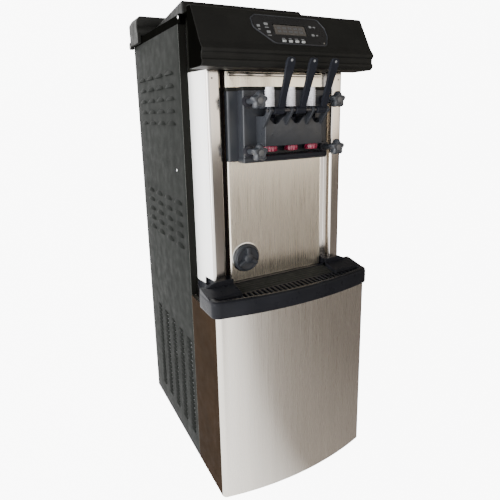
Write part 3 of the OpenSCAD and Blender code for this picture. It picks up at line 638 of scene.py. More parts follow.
def swept_rim(outer, inner, profile):
    """Solid strip between two plan paths; profile points are (share across, height)."""
    bm = bmesh.new()
    rings = []
    for (ox, oy), (ix, iy) in zip(outer, inner):
        rings.append([bm.verts.new((ix + (ox - ix) * t, iy + (oy - iy) * t, z))
                      for t, z in profile])
    count = len(profile)
    for a, b in zip(rings, rings[1:]):
        for i in range(count):
            j = (i + 1) % count
            bm.faces.new((a[i], b[i], b[j], a[j]))
    bm.faces.new(rings[0])
    bm.faces.new(rings[-1])
    return smooth(from_bmesh(bm), 50)


# ---------- side panels (the numbers in capitals are in millimetres) ----------

# Each group of louvres: first centre behind the front edge, pitch, width, lowest lip, row pitch.
LOUVRE_GROUPS = ((97, 100, 76, 1140, 37.5), (78, 99, 72, 752, 35.5))
LOUVRE_COLUMNS, LOUVRE_ROWS = 4, 5
LOUVRE_HEIGHT, LOUVRE_DEPTH = 14, 6.4
INLET_COLUMNS, INLET_FIRST_Y, INLET_PITCH_Y, INLET_WIDTH = 5, 48, 80, 44
INLET_ROWS, INLET_FIRST_Z, INLET_PITCH_Z, INLET_HEIGHT = 22, 80, 16.5, 7
INLET_HOOD_Z, INLET_HOOD_DEPTH = 86, 3.6


def scoop(bm, y, z, width, height, depth, side, columns=12, rows=5):
    """Half-moon hood whose lip opens downwards; material 1 is a sheet across the opening, painted
    dark as the shade inside it.
    """
    grid = []
    for j in range(rows + 1):
        v = j / rows
        line = []
        for i in range(columns + 1):
            u = 2 * i / columns - 1
            swell = math.sqrt(max(0.0, 1 - u * u))
            out = depth * swell * math.sin(v * math.pi / 2)
            line.append(bm.verts.new((side * (HALF_W + out), y + u * width / 2,
                                      z + height * swell * (1 - v))))
        grid.append(line)
    for upper, lower in zip(grid, grid[1:]):
        for face in bridge(bm, upper, lower):
            face.smooth = True
    lip = grid[-1]
    # a sheet from the lip back to the panel, painted dark as the shade inside the opening
    wall = [bm.verts.new((side * (HALF_W + 0.1 * MM), v.co.y, z + GAP)) for v in lip]
    for face in bridge(bm, lip, wall):
        face.material_index = 1


def panel_sheet(side):
    """Flat sheet with its slotted air inlet, built as a lattice of faces around the slots."""
    ys, zs = [FRONT_Y], [DOOR_LOW.z]
    for i in range(INLET_COLUMNS):
        centre = INLET_FIRST_Y + INLET_PITCH_Y * i
        ys += [FRONT_Y + (centre + half) * MM for half in (-INLET_WIDTH / 2, INLET_WIDTH / 2)]
    for i in range(INLET_ROWS):
        zs += [(edge + INLET_PITCH_Z * i) * MM
               for edge in (INLET_FIRST_Z, INLET_FIRST_Z + INLET_HEIGHT)]
    ys.append(BACK_Y)
    zs.append(SIDE_TOP)
    bm = bmesh.new()
    verts = [[bm.verts.new((side * HALF_W, y, z)) for y in ys] for z in zs]
    for j in range(len(zs) - 1):
        for i in range(len(ys) - 1):
            if i % 2 == 0 or j % 2 == 0:
                bm.faces.new((verts[j][i], verts[j][i + 1], verts[j + 1][i + 1], verts[j + 1][i]))
    front = [row[0] for row in verts]
    bridge(bm, front, [bm.verts.new((side * (WALL_X + 0.5 * MM), FRONT_Y, v.co.z)) for v in front])
    back = [row[-1] for row in verts]
    bridge(bm, back, [bm.verts.new((side * (HALF_W - 16 * MM), BACK_Y, v.co.z)) for v in back])
    sheet = thickened(from_bmesh(bm), SHEET)
    edge = sheet.modifiers.new("fold", "BEVEL")
    edge.width = 7 * MM
    edge.segments = 6
    edge.limit_method = "ANGLE"
    edge.angle_limit = math.radians(60)
    settle(sheet)
    painted(smooth(sheet, 40), M["panel"], M["panel_painted_shade"], M["fold"])
    for face in sheet.data.polygons:
        # the front-facing flange takes the darker coat, painted shade
        if face.center.y < FRONT_Y + 2 * MM and abs(face.normal.y) > 0.9:
            face.material_index = 1
        # the rounded fold's faces take the lighter coat, a painted highlight
        elif face.center.y < FRONT_Y + 8 * MM and 0.35 < abs(face.normal.x) < 0.999:
            face.material_index = 2
    return sheet


def side_panel(side, node):
    bm = bmesh.new()
    for first, pitch, width, low, rise in LOUVRE_GROUPS:
        for i in range(LOUVRE_COLUMNS):
            for j in range(LOUVRE_ROWS):
                scoop(bm, FRONT_Y + (first + pitch * i) * MM, (low + rise * j) * MM, width * MM,
                      LOUVRE_HEIGHT * MM, LOUVRE_DEPTH * MM, side)
    for i in range(INLET_COLUMNS):
        for j in range(INLET_ROWS):
            scoop(bm, FRONT_Y + (INLET_FIRST_Y + INLET_PITCH_Y * i) * MM,
                  (INLET_HOOD_Z + INLET_PITCH_Z * j) * MM, INLET_WIDTH * MM, INLET_HEIGHT * MM,
                  INLET_HOOD_DEPTH * MM, side, columns=8, rows=3)
    hoods = painted(from_bmesh(bm), M["panel"], M["opening_painted_shade"])
    piece(joined([panel_sheet(side), hoods]), "panel_" + node, "cabinet", "painted_panel", node)


side_panel(-1, "side_panel_left")
side_panel(1, "side_panel_right")


# ---------- lower front and tray ----------

def lower_front():
    path = bow_path(HALF_W, FRONT_Y - 0.5 * MM, DOOR_CORNER_Y, 16 * MM)
    panel = sheet_along(path, DOOR_LOW.z, DOOR_TOP, SHEET, hem=14 * MM)
    painted(smooth(panel, 40), M["steel"], M["return"])
    # the side returns take the brown coat, a painted reflection, instead of the steel
    for face in panel.data.polygons:
        if abs(face.normal.x) > 0.97:
            face.material_index = 1
    piece(panel, "bowed_front", "cabinet", "brushed_stainless", "lower_front_panel")


lower_front()

RAMP_TOP, RAMP_LOW = NECK_BASE - 22 * MM, RIM_Z - 11 * MM
RAMP_GROOVES = 6


def ramp_outline(z0):
    """Side view of the slope behind the grille, with its long grooves."""
    out = [(FRONT_Y - 20 * MM, z0 + 4 * MM), (FRONT_Y - 20 * MM, RAMP_TOP),
           (FASCIA_Y - 2 * MM, RAMP_TOP)]
    for i in range(1, RAMP_GROOVES + 1):
        y = FASCIA_Y - (2 + 10 * i) * MM
        z = RAMP_TOP - (RAMP_TOP - RAMP_LOW) * i / (RAMP_GROOVES + 1)
        out += around(y, z, (2, 0.4), (0.8, -1.6), (-0.8, -1.9), (-2, -0.4))
    return out + [(PAN_BACK_Y, RAMP_LOW), (PAN_BACK_Y, z0 + 4 * MM)]


def tray_surround():
    """Rim and floor, the ramp, and on each side a shoulder that rises beside the column."""
    z0, z1 = DOOR_TOP + GAP, RIM_Z
    inner_half, inner_y = TRAY_HALF - TRAY_RIM, TRAY_CORNER_Y + TRAY_RIM
    outer = bow_path(TRAY_HALF, SHOULDER_Y, TRAY_CORNER_Y, 24 * MM)
    inner = bow_path(inner_half, SHOULDER_Y, inner_y - 4 * MM, 14 * MM)
    profile = [(0.0, z0 + 8 * MM), (0.0, z1 - 2.5 * MM), (0.05, z1 - 0.9 * MM), (0.16, z1),
               (0.66, z1), (0.82, z1 - 0.8 * MM), (0.93, z1 - 3 * MM), (0.985, z1 - 7 * MM),
               (1.0, z1 - 12 * MM), (1.0, z0 + 6 * MM), (0.985, z0 + 2 * MM), (0.95, z0),
               (0.1, z0)]
    parts = [swept_rim(outer, inner, profile)]
    floor = bow_path(inner_half + 1 * MM, PAN_BACK_Y, inner_y - 5 * MM, 14 * MM)
    parts.append(prism(floor, "z", z0, z0 + 7 * MM))
    parts.append(block((-WALL_X + 2 * MM, SHOULDER_Y - 1 * MM, z0),
                       (WALL_X - 2 * MM, FRONT_Y - 0.5 * MM, NECK_BASE - 22 * MM), 1 * MM))
    top, near = NECK_BASE - GAP, FASCIA_HALF + 2 * MM
    deck = rounded([(FRONT_Y - 40 * MM, z1 - 4 * MM), (FRONT_Y - 46 * MM, top),
                    (SHOULDER_Y - 7 * MM, top), (SHOULDER_Y - 7 * MM, z1 - 4 * MM)],
                   mm(0, 4, 0, 0))
    apron = rounded([(SHOULDER_Y, z0)] + around(SHOULDER_Y, z1, (0, 12), (-15, 10), (-71, -1))
                    + [(SHOULDER_Y - 71 * MM, z0)], mm(0, 2, 14, 10, 0))
    for side in SIDES:
        parts.append(prism(deck, "x", *span(side, near, COLUMN_OUT - 2 * MM), 2 * MM, 3))
        parts.append(prism(apron, "x", *span(side, near, TRAY_HALF - 1 * MM), 5 * MM, 4))
        face = rounded([(near, z0), (near, top), (COLUMN_OUT + 1 * MM, top),
                        (HALF_W - 1 * MM, z1 + 8 * MM), (HALF_W - 1 * MM, z0)], mm(0, 2, 12, 8, 0))
        parts.append(prism([(side * a, b) for a, b in face], "y", SHOULDER_Y - 14 * MM, SHOULDER_Y,
                           4 * MM, 4))
    slope = prism(ramp_outline(z0), "x", -FASCIA_HALF - 3 * MM, FASCIA_HALF + 3 * MM)
    parts = all_painted(parts, "tray") + [painted(slope, M["soft_black"])]
    piece(joined(parts), "tray_ledge", "cabinet", "black_moulding", "tray_surround")


tray_surround()

SLATS, SLAT_PITCH, SLAT_HALF = 31, 16, 3.4  # a count and two millimetre sizes


def drip_grille():
    """Slats with rounded tops inside a narrow border."""
    inset = TRAY_RIM + 1.6 * MM
    border_y, corner_y = PAN_BACK_Y - 1.6 * MM, TRAY_CORNER_Y + inset
    outer = bow_path(TRAY_HALF - inset, border_y, corner_y - 4 * MM, 13 * MM)
    inner = bow_path(TRAY_HALF - inset - 6 * MM, border_y, corner_y + 2 * MM, 9 * MM)
    z0, z1 = GRILLE_LOW.z, GRILLE_HIGH.z
    profile = [(0, z0), (0, z1 - 1 * MM), (0.2, z1), (0.8, z1), (1, z1 - 1 * MM), (1, z0)]
    back = PAN_BACK_Y - 1.8 * MM
    parts = [swept_rim(outer, inner, profile),
             block((-TRAY_HALF + inset + 2 * MM, back - 5 * MM, z0),
                   (TRAY_HALF - inset - 2 * MM, back, z1), 1 * MM)]
    for i in range(SLATS):
        x = (SLAT_PITCH * i - 240) * MM
        front = bow_y(x, TRAY_HALF, TRAY_CORNER_Y) + TRAY_RIM + 3 * MM
        parts.append(block((x - SLAT_HALF * MM, front, z0),
                           (x + SLAT_HALF * MM, back - 3 * MM, z1), 1.4 * MM))
    piece(joined(all_painted(parts, "tray")), "grille_slats", "drip_grille", "tray_black",
          "drip_grille")


drip_grille()


# ---------- neck ----------

COLUMN_TURN = 8 * MM  # radius of the bends in the columns and the fascia


def split_at(obj, height):
    """Adds an edge loop at a height, where one material changes to another, here where painted
    shade begins.
    """
    bm = bmesh.new()
    bm.from_mesh(obj.data)
    bmesh.ops.bisect_plane(bm, geom=bm.verts[:] + bm.edges[:] + bm.faces[:],
                           plane_co=(0, 0, height), plane_no=(0, 0, 1))
    bm.to_mesh(obj.data)
    bm.free()


def neck_side(side, name, node):
    """Tapering outer wall, column with rounded corners and the groove's floor, one bent sheet."""
    r = COLUMN_TURN
    path = [(FASCIA_HALF - 10 * MM, GROOVE_Y + 1.2 * MM),
            (COLUMN_IN - 1 * MM, GROOVE_Y + 1.2 * MM), (COLUMN_IN, GROOVE_Y + 0.2 * MM)]
    path += arc(COLUMN_IN + r, NECK_Y + r, r, 180, 270, 8)
    path += arc(COLUMN_OUT - r, NECK_Y + r, r, 270, 360, 8)
    for t in (0, 0.25, 0.5, 0.75, 1):
        path.append((COLUMN_OUT + (WALL_X - COLUMN_OUT) * t,
                     NECK_Y + 10 * MM + (FRONT_Y - GAP - NECK_Y - 10 * MM) * t))
    if side < 0:
        path = [(-x, y) for x, y in reversed(path)]
    sheet = sheet_along(path, NECK_LOW.z, NECK_HIGH.z, THIN_SHEET)
    foot = side_block(side, (0, WALL_X + 5 * MM), (NECK_Y - 5 * MM, NECK_Y + 55 * MM),
                      (NECK_BASE - 30 * MM, NECK_BASE), 0)
    hole = drill(2.5 * MM, -5 * MM, 4 * MM, "y",
                 (side * (COLUMN_IN + 25.5 * MM), NECK_Y, 1266 * MM), 20)
    cut(sheet, foot, hole)
    # painted light and shade: each column's front takes its own copy of the polished steel, and the
    # left groove takes the near-black coat
    front, inside = ("column", "groove") if side < 0 else ("column_right_painted_light", "column")
    painted(smooth(sheet, 35), M[front], M[inside], M["wall"], M["panel_painted_shade"])
    # above the visor's underside the outer wall takes the darker coat: painted shade under the
    # visor
    split_at(sheet, VISOR_LOW.z)
    for face in sheet.data.polygons:
        x, y, z = face.center
        inward = face.normal.x * side < -0.9 and x * side < COLUMN_IN + 4 * MM
        # index 1: on the left the near-black groove coat, painted shade; on the right the polished
        # steel
        if inward or y > GROOVE_Y - 1 * MM and x * side < COLUMN_IN + 2 * MM:
            face.material_index = 1
        # the outer wall takes the near-white steel, a painted reflection, or above the visor's
        # underside the darker coat
        elif x * side > COLUMN_OUT - 0.5 * MM and y > NECK_Y + 9 * MM:
            face.material_index = 3 if z > VISOR_LOW.z else 2
    piece(sheet, name, "cabinet", "polished_stainless", node)


neck_side(-1, "column_left", "neck_side_left")
neck_side(1, "column_right", "neck_side_right")

CYLINDER_X, CYLINDER_Z, CYLINDER_HOLE, DRAWER_HOLE = mm(85, 1135, 53.5, 33)


def fascia():
    r, half, end_y = COLUMN_TURN, FASCIA_HALF, GROOVE_Y - 0.2 * MM
    path = [(-half, end_y)] + arc(-half + r, FASCIA_Y + r, r, 180, 270, 8)
    path += arc(half - r, FASCIA_Y + r, r, 270, 360, 8) + [(half, end_y)]
    sheet = smooth(sheet_along(path, FASCIA_LOW.z, FASCIA_HIGH.z, THIN_SHEET), 35)
    holes = [(x, CYLINDER_Z, CYLINDER_HOLE) for x in (-CYLINDER_X, CYLINDER_X)]
    holes.append((CAP.x, CAP.z, DRAWER_HOLE))
    cut(sheet, *[drill(radius, -20 * MM, 20 * MM, "y", (x, FASCIA_Y, z), 64) for x, z,
                 radius in holes])
    lip = block((-half + 10 * MM, FASCIA_Y - 5 * MM, VISOR_LOW.z - 14 * MM),
                (half - 10 * MM, FASCIA_Y - 0.2 * MM, VISOR_LOW.z - 4 * MM), 2.4 * MM)
    panel = joined([painted(sheet, M["fascia"]), painted(lip, M["column"])])
    piece(panel, "centre_fascia", "cabinet", "brushed_stainless", "fascia")


fascia()


# ---------- visor and controls ----------

SLOPE_TOP = Vector((0, FRONT_Y - 124 * MM, VISOR_HIGH.z))
SLOPE_LOW = Vector((0, FRONT_Y - 176 * MM, VISOR_HIGH.z - 95 * MM))
SLOPE_MID = (SLOPE_TOP + SLOPE_LOW) / 2
SLOPE_UP = (SLOPE_TOP - SLOPE_LOW).normalized()
SLOPE_OUT = Vector((1, 0, 0)).cross(SLOPE_UP)
SLOPE = Matrix((
    (1, SLOPE_UP.x, SLOPE_OUT.x, SLOPE_MID.x),
    (0, SLOPE_UP.y, SLOPE_OUT.y, SLOPE_MID.y),
    (0, SLOPE_UP.z, SLOPE_OUT.z, SLOPE_MID.z),
    (0, 0, 0, 1)))
KEY_XS = [(3 + (i - 1.5) * 21) * MM for i in range(4)]

# On the slope, in millimetres: each mark's centre and size.
MARKS = [(-97, 3, 10, 7), (-97, -8, 7, 3), (-72, 10, 12, 8), (-72, -1, 12, 2.4),
         (-70, -15, 12, 8), (-70, -26, 12, 2.4), (74, 10, 9, 7), (88, 10, 7, 4),
         (76, -17, 10, 7), (90, -17, 7, 4)]
MARKS += [(3 + (i - 1.5) * 21, -33.5, 10, 2.0) for i in range(4)]


def on_slope(obj):
    obj.data.transform(SLOPE)
    return obj


def key_cutters(half, y0, y1, z0, z1):
    return [block((x - half * MM, y0 * MM, z0 * MM), (x + half * MM, y1 * MM, z1 * MM), 0)
            for x in KEY_XS]


def visor():
    top, low = VISOR_HIGH.z, VISOR_LOW.z
    outline = around(FRONT_Y, low, (-98, 155), (-124, 155), (-176, 60), (-186, 48), (-189, 43),
                     (-188, 36), (-183.5, 33), (-182.5, 26), (-183.5, 19), (-187, 16), (-187, 9),
                     (-182, 2), (-177, 0), (-98, 0))
    outline = rounded(outline, mm(0, 12, 14, 4, 3, 2, 2, 2, 2, 2.5, 4, 3, 3, 0))
    shell = prism(outline, "x", VISOR_LOW.x, VISOR_HIGH.x, 2.4 * MM, 3)
    neck = block((-COLUMN_OUT - GAP, NECK_Y - 0.5 * MM, low - 2 * MM),
                 (COLUMN_OUT + GAP, FRONT_Y, top - 6 * MM), 0)
    window = block(*mm((-52, -20, -10), (56, 14, 10)), 0)
    keys = key_cutters(8, -47, -37, -12, 6)
    flat_shaded(cut(shell, neck, *[on_slope(cutter) for cutter in [window] + keys]))
    painted(shell, M["black"], M["end_cap"])
    # the visor's end faces take the darker copy, painted shade
    for face in shell.data.polygons:
        if abs(face.normal.x) > 0.9:
            face.material_index = 1
    piece(shell, "visor_shell", "cabinet", "black_moulding", "visor")


visor()


def bezel_outline(grow=0.0):
    corners = [(-58, -50), (112, -50), (125, -20), (125, 8), (106, 38), (-100, 38), (-115, 26),
               (-115, -2)]
    cx, cy = 5, -6
    grown = [(x + math.copysign(grow, x - cx), y + math.copysign(grow, y - cy)) for x,
             y in corners]
    return rounded(mm(*grown), mm(22, 14, 22, 22, 16, 10, 10, 18), 6)


def control_frame():
    """Plate with its edge bead, the window's bead, plain marks and a screw."""
    plate = prism(bezel_outline(-2), "z", -0.4 * MM, 1.2 * MM, 0.5 * MM, 2)
    cut(plate, block(*mm((-53, -23, -5), (57, 13, 5)), 0), *key_cutters(6.2, -45.7, -38.3, -5, 5))
    edge = bead(loop_at(bezel_outline(), 1.0 * MM), 1.5 * MM)
    window_edge = rounded(rectangle(*mm(2, -5, 111, 37)), 4 * MM)
    window_bead = bead(loop_at(window_edge, 1.2 * MM), 1.1 * MM)
    parts = [painted(plate, M["bezel"]), painted(edge, M["head"]),
             painted(window_bead, M["bezel"])]
    for x, y, w, h in MARKS:
        outline = rounded(rectangle(*mm(x, y, w, h)), min(w, h) * 0.3 * MM)
        parts.append(painted(prism(outline, "z", 1.1 * MM, 1.5 * MM), M["mark"]))
    screw = lathe(mm((2.6, 1), (2.4, 2.0), (1.2, 2.4)), "z", mm(106, -42, 0), 20)
    parts.append(painted(screw, M["bright"]))
    piece(joined([on_slope(p) for p in parts]), "control_frame", "cabinet", "bezel_black",
          "control_bezel")


def display():
    """Glass with ten blank cells."""
    outline = rounded(rectangle(*mm(2, -5, 103, 31)), 3 * MM)
    parts = [painted(prism(outline, "z", -2 * MM, 1.0 * MM, 0.8 * MM, 3), M["display"])]
    for i in range(5):
        for j in range(2):
            x, y = 18 * i, 11 * j
            bar = block(*mm((x - 40, y - 14, 1.0), (x - 28, y - 7, 1.15)), 0)
            parts.append(painted(bar, M["mark_dark"]))
    piece(joined([on_slope(p) for p in parts]), "display_glass", "cabinet", "display",
          "display_window")


def keys():
    for i, x in enumerate(KEY_XS, 1):
        outline = rounded(rectangle(x, *mm(-42, 11.8, 6.8)), 2.4 * MM)
        cap = on_slope(prism(outline, "z", -4 * MM, 3.6 * MM, 1.1 * MM, 4))
        name = "button_%d" % i
        piece(painted(cap, M["key"]), "key_%d" % i, name, "button_white", name)


control_frame()
display()
keys()


# ---------- dispensing head ----------

NOSE_LEFT, NOSE_RIGHT, NOSE_LOW, NOSE_HIGH, NOSE_DIP = mm(-103, 89, 1080, 1162, 22)
NOSE_STEPS = 72
LUGS = ((-103, 9), (-35, 8), (35, 8), (84, 9))  # centre and width, in millimetres


def nose_outline():
    """Flat bottom, upright ends and a top edge that dips where a lever arm passes."""
    top = []
    for i in range(NOSE_STEPS + 1):
        x = NOSE_RIGHT + (NOSE_LEFT - NOSE_RIGHT) * i / NOSE_STEPS
        dip = abs(math.cos(x / PLUNGER_PITCH * math.pi)) ** 2.4
        top.append((x, NOSE_HIGH - NOSE_DIP * dip))
    return [(NOSE_LEFT, NOSE_LOW), (NOSE_RIGHT, NOSE_LOW)] + top


def lever_lug(x, width):
    outline = arc(PIVOT.y, PIVOT.z, 10 * MM, 190, -10, 12)
    outline += [(NOSE_Y + 6 * MM, 1158 * MM), (NOSE_Y + 6 * MM, 1128 * MM)]
    return prism(outline, "x", x - width / 2, x + width / 2, 1.4 * MM, 2)


def slab(half, back, front, z0, z1, corner, bevel):
    """Upright block whose two front corners are rounded in plan; half, corner, bevel in mm."""
    half, corner, bevel = mm(half, corner, bevel)
    plan = [(-half, back), (-half, front), (half, front), (half, back)]
    return prism(rounded(plan, [0, corner, corner, 0], 6), "z", z0, z1, bevel, 4)


def head():
    """Plate and body with a lip and hood over them, the nose with its lever lugs."""
    z0, z1 = HEAD_LOW.z + 3 * MM, HEAD_HIGH.z - 7 * MM
    back, join_y = FASCIA_Y - 1 * MM, PLATE_Y + 1 * MM
    plate = slab(175, back, PLATE_Y, z0, z1, 9, 2.5)
    body = slab(143, join_y, BODY_Y, z0 + 10 * MM, z1, 5, 2.5)
    lip = slab(178, back, PLATE_Y - 1 * MM, z1 - 4 * MM, z1 + 7 * MM, 8, 2)
    hood = slab(146, join_y, BODY_Y - 3 * MM, z1 - 3 * MM, z1 + 7 * MM, 5, 2)
    foot = slab(145, join_y, BODY_Y - 2 * MM, z0 - 3 * MM, z0 + 12 * MM, 5, 2)
    nose = prism(nose_outline(), "y", NOSE_Y, BODY_Y + 1 * MM, 3 * MM, 4)
    cut(nose, *plunger_drills(14.4 * MM, 1070 * MM, 1180 * MM))
    parts = all_painted([plate, body, foot, nose], "head") + all_painted([lip, hood], "black")
    parts += all_painted([lever_lug(x * MM, width * MM) for x, width in LUGS], "head")
    piece(joined(parts), "head_moulding", "cabinet", "head_black", "head_body")


head()


def shroud():
    low, high = box("spout_shroud")
    half = 110 * MM
    plan = [(-half, high.y), (-half, low.y), (half, low.y), (half, high.y)]
    plate = prism(rounded(plan, mm(0, 12, 12, 0), 6), "z", low.z, high.z, 2.6 * MM, 4)
    cut(plate, *plunger_drills(15 * MM, low.z - 9 * MM, high.z + 9 * MM))
    piece(painted(plate, M["tray"]), "nozzle_shroud", "cabinet", "head_black", "spout_shroud")


shroud()


def lobes(angle, radius):
    """Five soft lobes, but a plain round hub."""
    return radius * (0.86 + 0.14 * math.sin(5 * angle)) if radius >= 13 * MM else radius


def star_knob(name, node):
    """Lobed knob with a dished face on a long hub that ends in a collar against the head."""
    low, high = box(node)
    centre = (low + high) / 2
    centre.y = high.y
    knob = lathe(mm((3, -10), (8.4, -10.4), (8, -50), (9.5, -53), (18, -54.2), (22, -56.5),
                    (24, -60), (24, -70), (22.4, -74.5), (19, -77), (14.6, -77.4), (9, -76),
                    (2, -75.6)), "y", centre, 80, lobes)
    collar = lathe(mm((5, 0), (15, 0), (16, -1.2), (15.6, -9.5), (9, -11.6), (5, -11.6)), "y",
                   centre, 48)
    cap = lathe(mm((8.5, -75.4), (8.5, -76.6), (7, -77.2), (2, -77.2)), "y", centre, 32)
    star = joined([painted(knob, M["star"]), painted(collar, M["knob"]),
                   painted(cap, M["mark_dark"])])
    piece(star, name, node, "knob_black", node)


for word in ("upper", "lower"):
    for hand in ("left", "right"):
        star_knob("star_%s_%s" % (word, hand), "knob_%s_%s" % (word, hand))

HANDLE_LEAN, ARM_DROP = math.radians(22.5), math.radians(8)
ARM_REACH = 54  # millimetres
# In millimetres: half the width at each distance from the pivot.
HANDLE_SIDE = [(8.8, 40), (9.6, 75), (11, 100), (12, 118), (12, 130), (9.5, 138.8), (4, 141.3)]


def lever(x, name, node):
    """Paddle handle that widens to its tip, an eye on the rod and the arm into the plunger."""
    outline = [(-8.5, 0), (8.5, 0)] + HANDLE_SIDE + [(-a, b) for a, b in reversed(HANDLE_SIDE)]
    outline = rounded(mm(*outline), mm(0, 0) + mm(6) * (2 * len(HANDLE_SIDE)), 3)
    handle = prism(outline, "y", -4.2 * MM, 4.2 * MM, 2 * MM, 4)
    dot = lathe(mm((3.6, -3.7), (3.4, -4.3), (2, -4.5)), "y", (0, 0, 134 * MM), 24)
    for part in (handle, dot):
        part.data.transform(Matrix.Rotation(HANDLE_LEAN, 4, "X"))
    eye = lathe(mm((5.3, -22), (9.2, -22), (10, -21), (10, 8), (9.2, 9), (5.3, 9)), "x", (0, 0, 0),
                40)
    outline = rounded(mm((4, -4.5), (ARM_REACH, -4.5), (58.5, 0), (ARM_REACH, 4.5), (4, 4.5)),
                      mm(0, 3, 3, 3, 0))
    arm = prism(outline, "x", -6 * MM, 6 * MM, 1.2 * MM, 3)
    arm.data.transform(Matrix.Rotation(-ARM_DROP, 4, "X"))
    bar = joined(all_painted([handle, eye, arm], "lever") + [painted(dot, M["mark"])])
    bar.data.transform(Matrix.Translation((x, PIVOT.y, PIVOT.z)))
    piece(bar, name, node, "knob_black", node)


PLUNGER_R, RIB_PITCH = 14 * MM, 6 * MM
PLUNGER_DARK_BELOW = 1187 * MM


def plunger(x, name, node):
    """Ribbed white rod, coloured dark below a set height, and the slot that the lever's arm works
    in.
    """
    low, high = box(node)
    r = PLUNGER_R
    slot_z = PIVOT.z - ARM_REACH * MM * math.sin(ARM_DROP)
    profile = [(r - 2 * MM, low.z), (r, low.z + 2 * MM), (r, slot_z + 11 * MM),
               (r - 2 * MM, slot_z + 13 * MM)]
    z = slot_z + 18 * MM
    while z < high.z - RIB_PITCH:
        profile += around(r, z, (-2, 0), (-0.4, 0.5), (0, 1.2), (0, 2.4), (-0.4, 3.1), (-2, 3.6))
        z += RIB_PITCH
    profile += [(r - 2 * MM, high.z - 1 * MM), (r - 3 * MM, high.z)]
    body = lathe(profile, "z", (x, PLUNGER_Y, 0), 48)
    mouth = around(PLUNGER_Y, slot_z, (8, -6.2), (8, 6.2), (-6, 6.5), (-18, 10.5), (-18, -15.7),
                   (-6, -6.8))
    cut(body, prism(mouth, "x", x - 7 * MM, x + 7 * MM))
    painted(body, M["white"], M["lever"])
    # faces below the set height take the lever's dark plastic
    for face in body.data.polygons:
        if face.center.z < PLUNGER_DARK_BELOW:
            face.material_index = 1
    piece(body, name, node, "white_plastic", node)


for place, hand in zip(PLUNGER_XS, ("left", "middle", "right")):
    lever(place, "handle_" + hand, "lever_" + hand)
    plunger(place, "draw_plunger_" + hand, "plunger_" + hand)


def flutes(angle, radius):
    """Twelve shallow flutes on the widest part only."""
    return radius * (1 + 0.035 * math.cos(12 * angle)) if radius > 17 * MM else radius


def nozzle_caps():
    z0 = box("nozzle_caps")[0].z
    profile = around(0, z0, (9, 3), (9, 0), (16, 0), (18.6, 1.5), (19.3, 5), (19.3, 14),
                     (18.5, 16), (16, 16.6))
    caps = [lathe(profile, "z", (x, PLUNGER_Y, 0), 96, flutes) for x in PLUNGER_XS]
    piece(joined(all_painted(caps, "red")), "outlet_caps", "cabinet", "nozzle_red", "nozzle_caps")


nozzle_caps()


# ---------- drip drawer ----------

def drawer():
    """Round knob with three raised spokes over a chromed seat."""
    centre = (CAP.x, FASCIA_Y, CAP.z)
    parts = [lathe(mm((41, -3.4), (43, -5), (43, -10.5), (41.5, -13), (38, -14.2), (35, -14.4),
                      (31, -13.4), (4, -13.2)), "y", centre, 96)]
    for angle in (90, 210, 330):
        spoke = prism(rounded(rectangle(*mm(17, 0, 36, 11)), 5 * MM), "y", FASCIA_Y - 26.5 * MM,
                      FASCIA_Y - 12 * MM, 2.2 * MM, 4)
        spoke.data.transform(Matrix.Translation((CAP.x, 0, CAP.z))
                             @ Matrix.Rotation(math.radians(-angle), 4, "Y"))
        parts.append(spoke)
    parts.append(lathe(mm((15, -12), (14.5, -25), (12, -27), (2, -27)), "y", centre, 48))
    parts.append(lathe(mm((38, -12), (38, -17.5), (36.6, -18.8), (35, -17.5), (35, -12)), "y",
                       centre, 96))
    piece(joined(all_painted(parts, "star")), "drip_drawer_knob", "drip_drawer", "knob_black",
          "drawer_knob")
    ring = lathe(mm((30.5, 0), (45.5, 0), (47, -0.8), (46.4, -2.4), (44.5, -3.0), (30.5, -2.6)),
                 "y", centre, 96)
    piece(painted(ring, M["bright"]), "drawer_seat", "cabinet", "bright_steel", "drawer_ring")


drawer()


# ---------- roof ----------

def roof():
    """Skirt round the top with the hopper mouths, a tongue to the visor, wings at the front."""
    deck = ROOF_HIGH.z
    skirt = block((-HALF_W, FRONT_Y, SIDE_TOP + GAP), (HALF_W, BACK_Y, deck), 3 * MM, 4)
    cutters = [block((-HALF_W + 3 * MM, FRONT_Y + 3 * MM, SIDE_TOP - 5 * MM),
                     (HALF_W - 3 * MM, BACK_Y - 3 * MM, deck - 3 * MM), 0)]
    for node in ("hopper_left", "hopper_right"):
        low, high = box(node)
        cutters.append(block((low.x + 4 * MM, low.y + 7.5 * MM, deck - 20 * MM),
                             (high.x - 4 * MM, high.y - 7.5 * MM, deck + 20 * MM), 18 * MM, 5))
    cut(skirt, *cutters)
    parts = [skirt, block((-HALF_W + 8 * MM, VISOR_HIGH.y + GAP, deck - 3 * MM),
                          (HALF_W - 8 * MM, FRONT_Y + 1 * MM, deck), 1 * MM)]
    for side in SIDES:
        for inset, low in ((9 * MM, deck - 3 * MM), (3 * MM, SIDE_TOP + GAP)):
            parts.append(side_block(side, (HALF_W - inset, HALF_W),
                                    (FRONT_Y - 18 * MM, FRONT_Y + 4 * MM), (low, deck), 0.8 * MM))
    piece(joined(all_painted(parts, "skirt")), "roof_skirt", "cabinet", "black_moulding",
          "roof_frame")


roof()

COVER_Z = ROOF_HIGH.z + 2.5 * MM
COVER_TOP = COVER_HIGH.z
COVER_HALF = COVER_HIGH.x
LID_Y = FRONT_Y + 98 * MM
LID_HALF = 216 * MM
HUMP_Y = BACK_Y - 109 * MM
HINGE_Z = box("cover_pins")[0].z + 4 * MM


def lid(inset, low, high, bevel):
    """The raised lid's body; the inset gives the space inside its walls."""
    end_y = HUMP_Y + 4 * MM
    outline = [(LID_Y + inset, low), (LID_Y + inset, high - inset),
               (end_y, high - 33 * MM - inset), (end_y, low)]
    return prism(rounded(outline, mm(0, 12, 0, 0)), "x", inset - LID_HALF, LID_HALF - inset, bevel,
                 4)


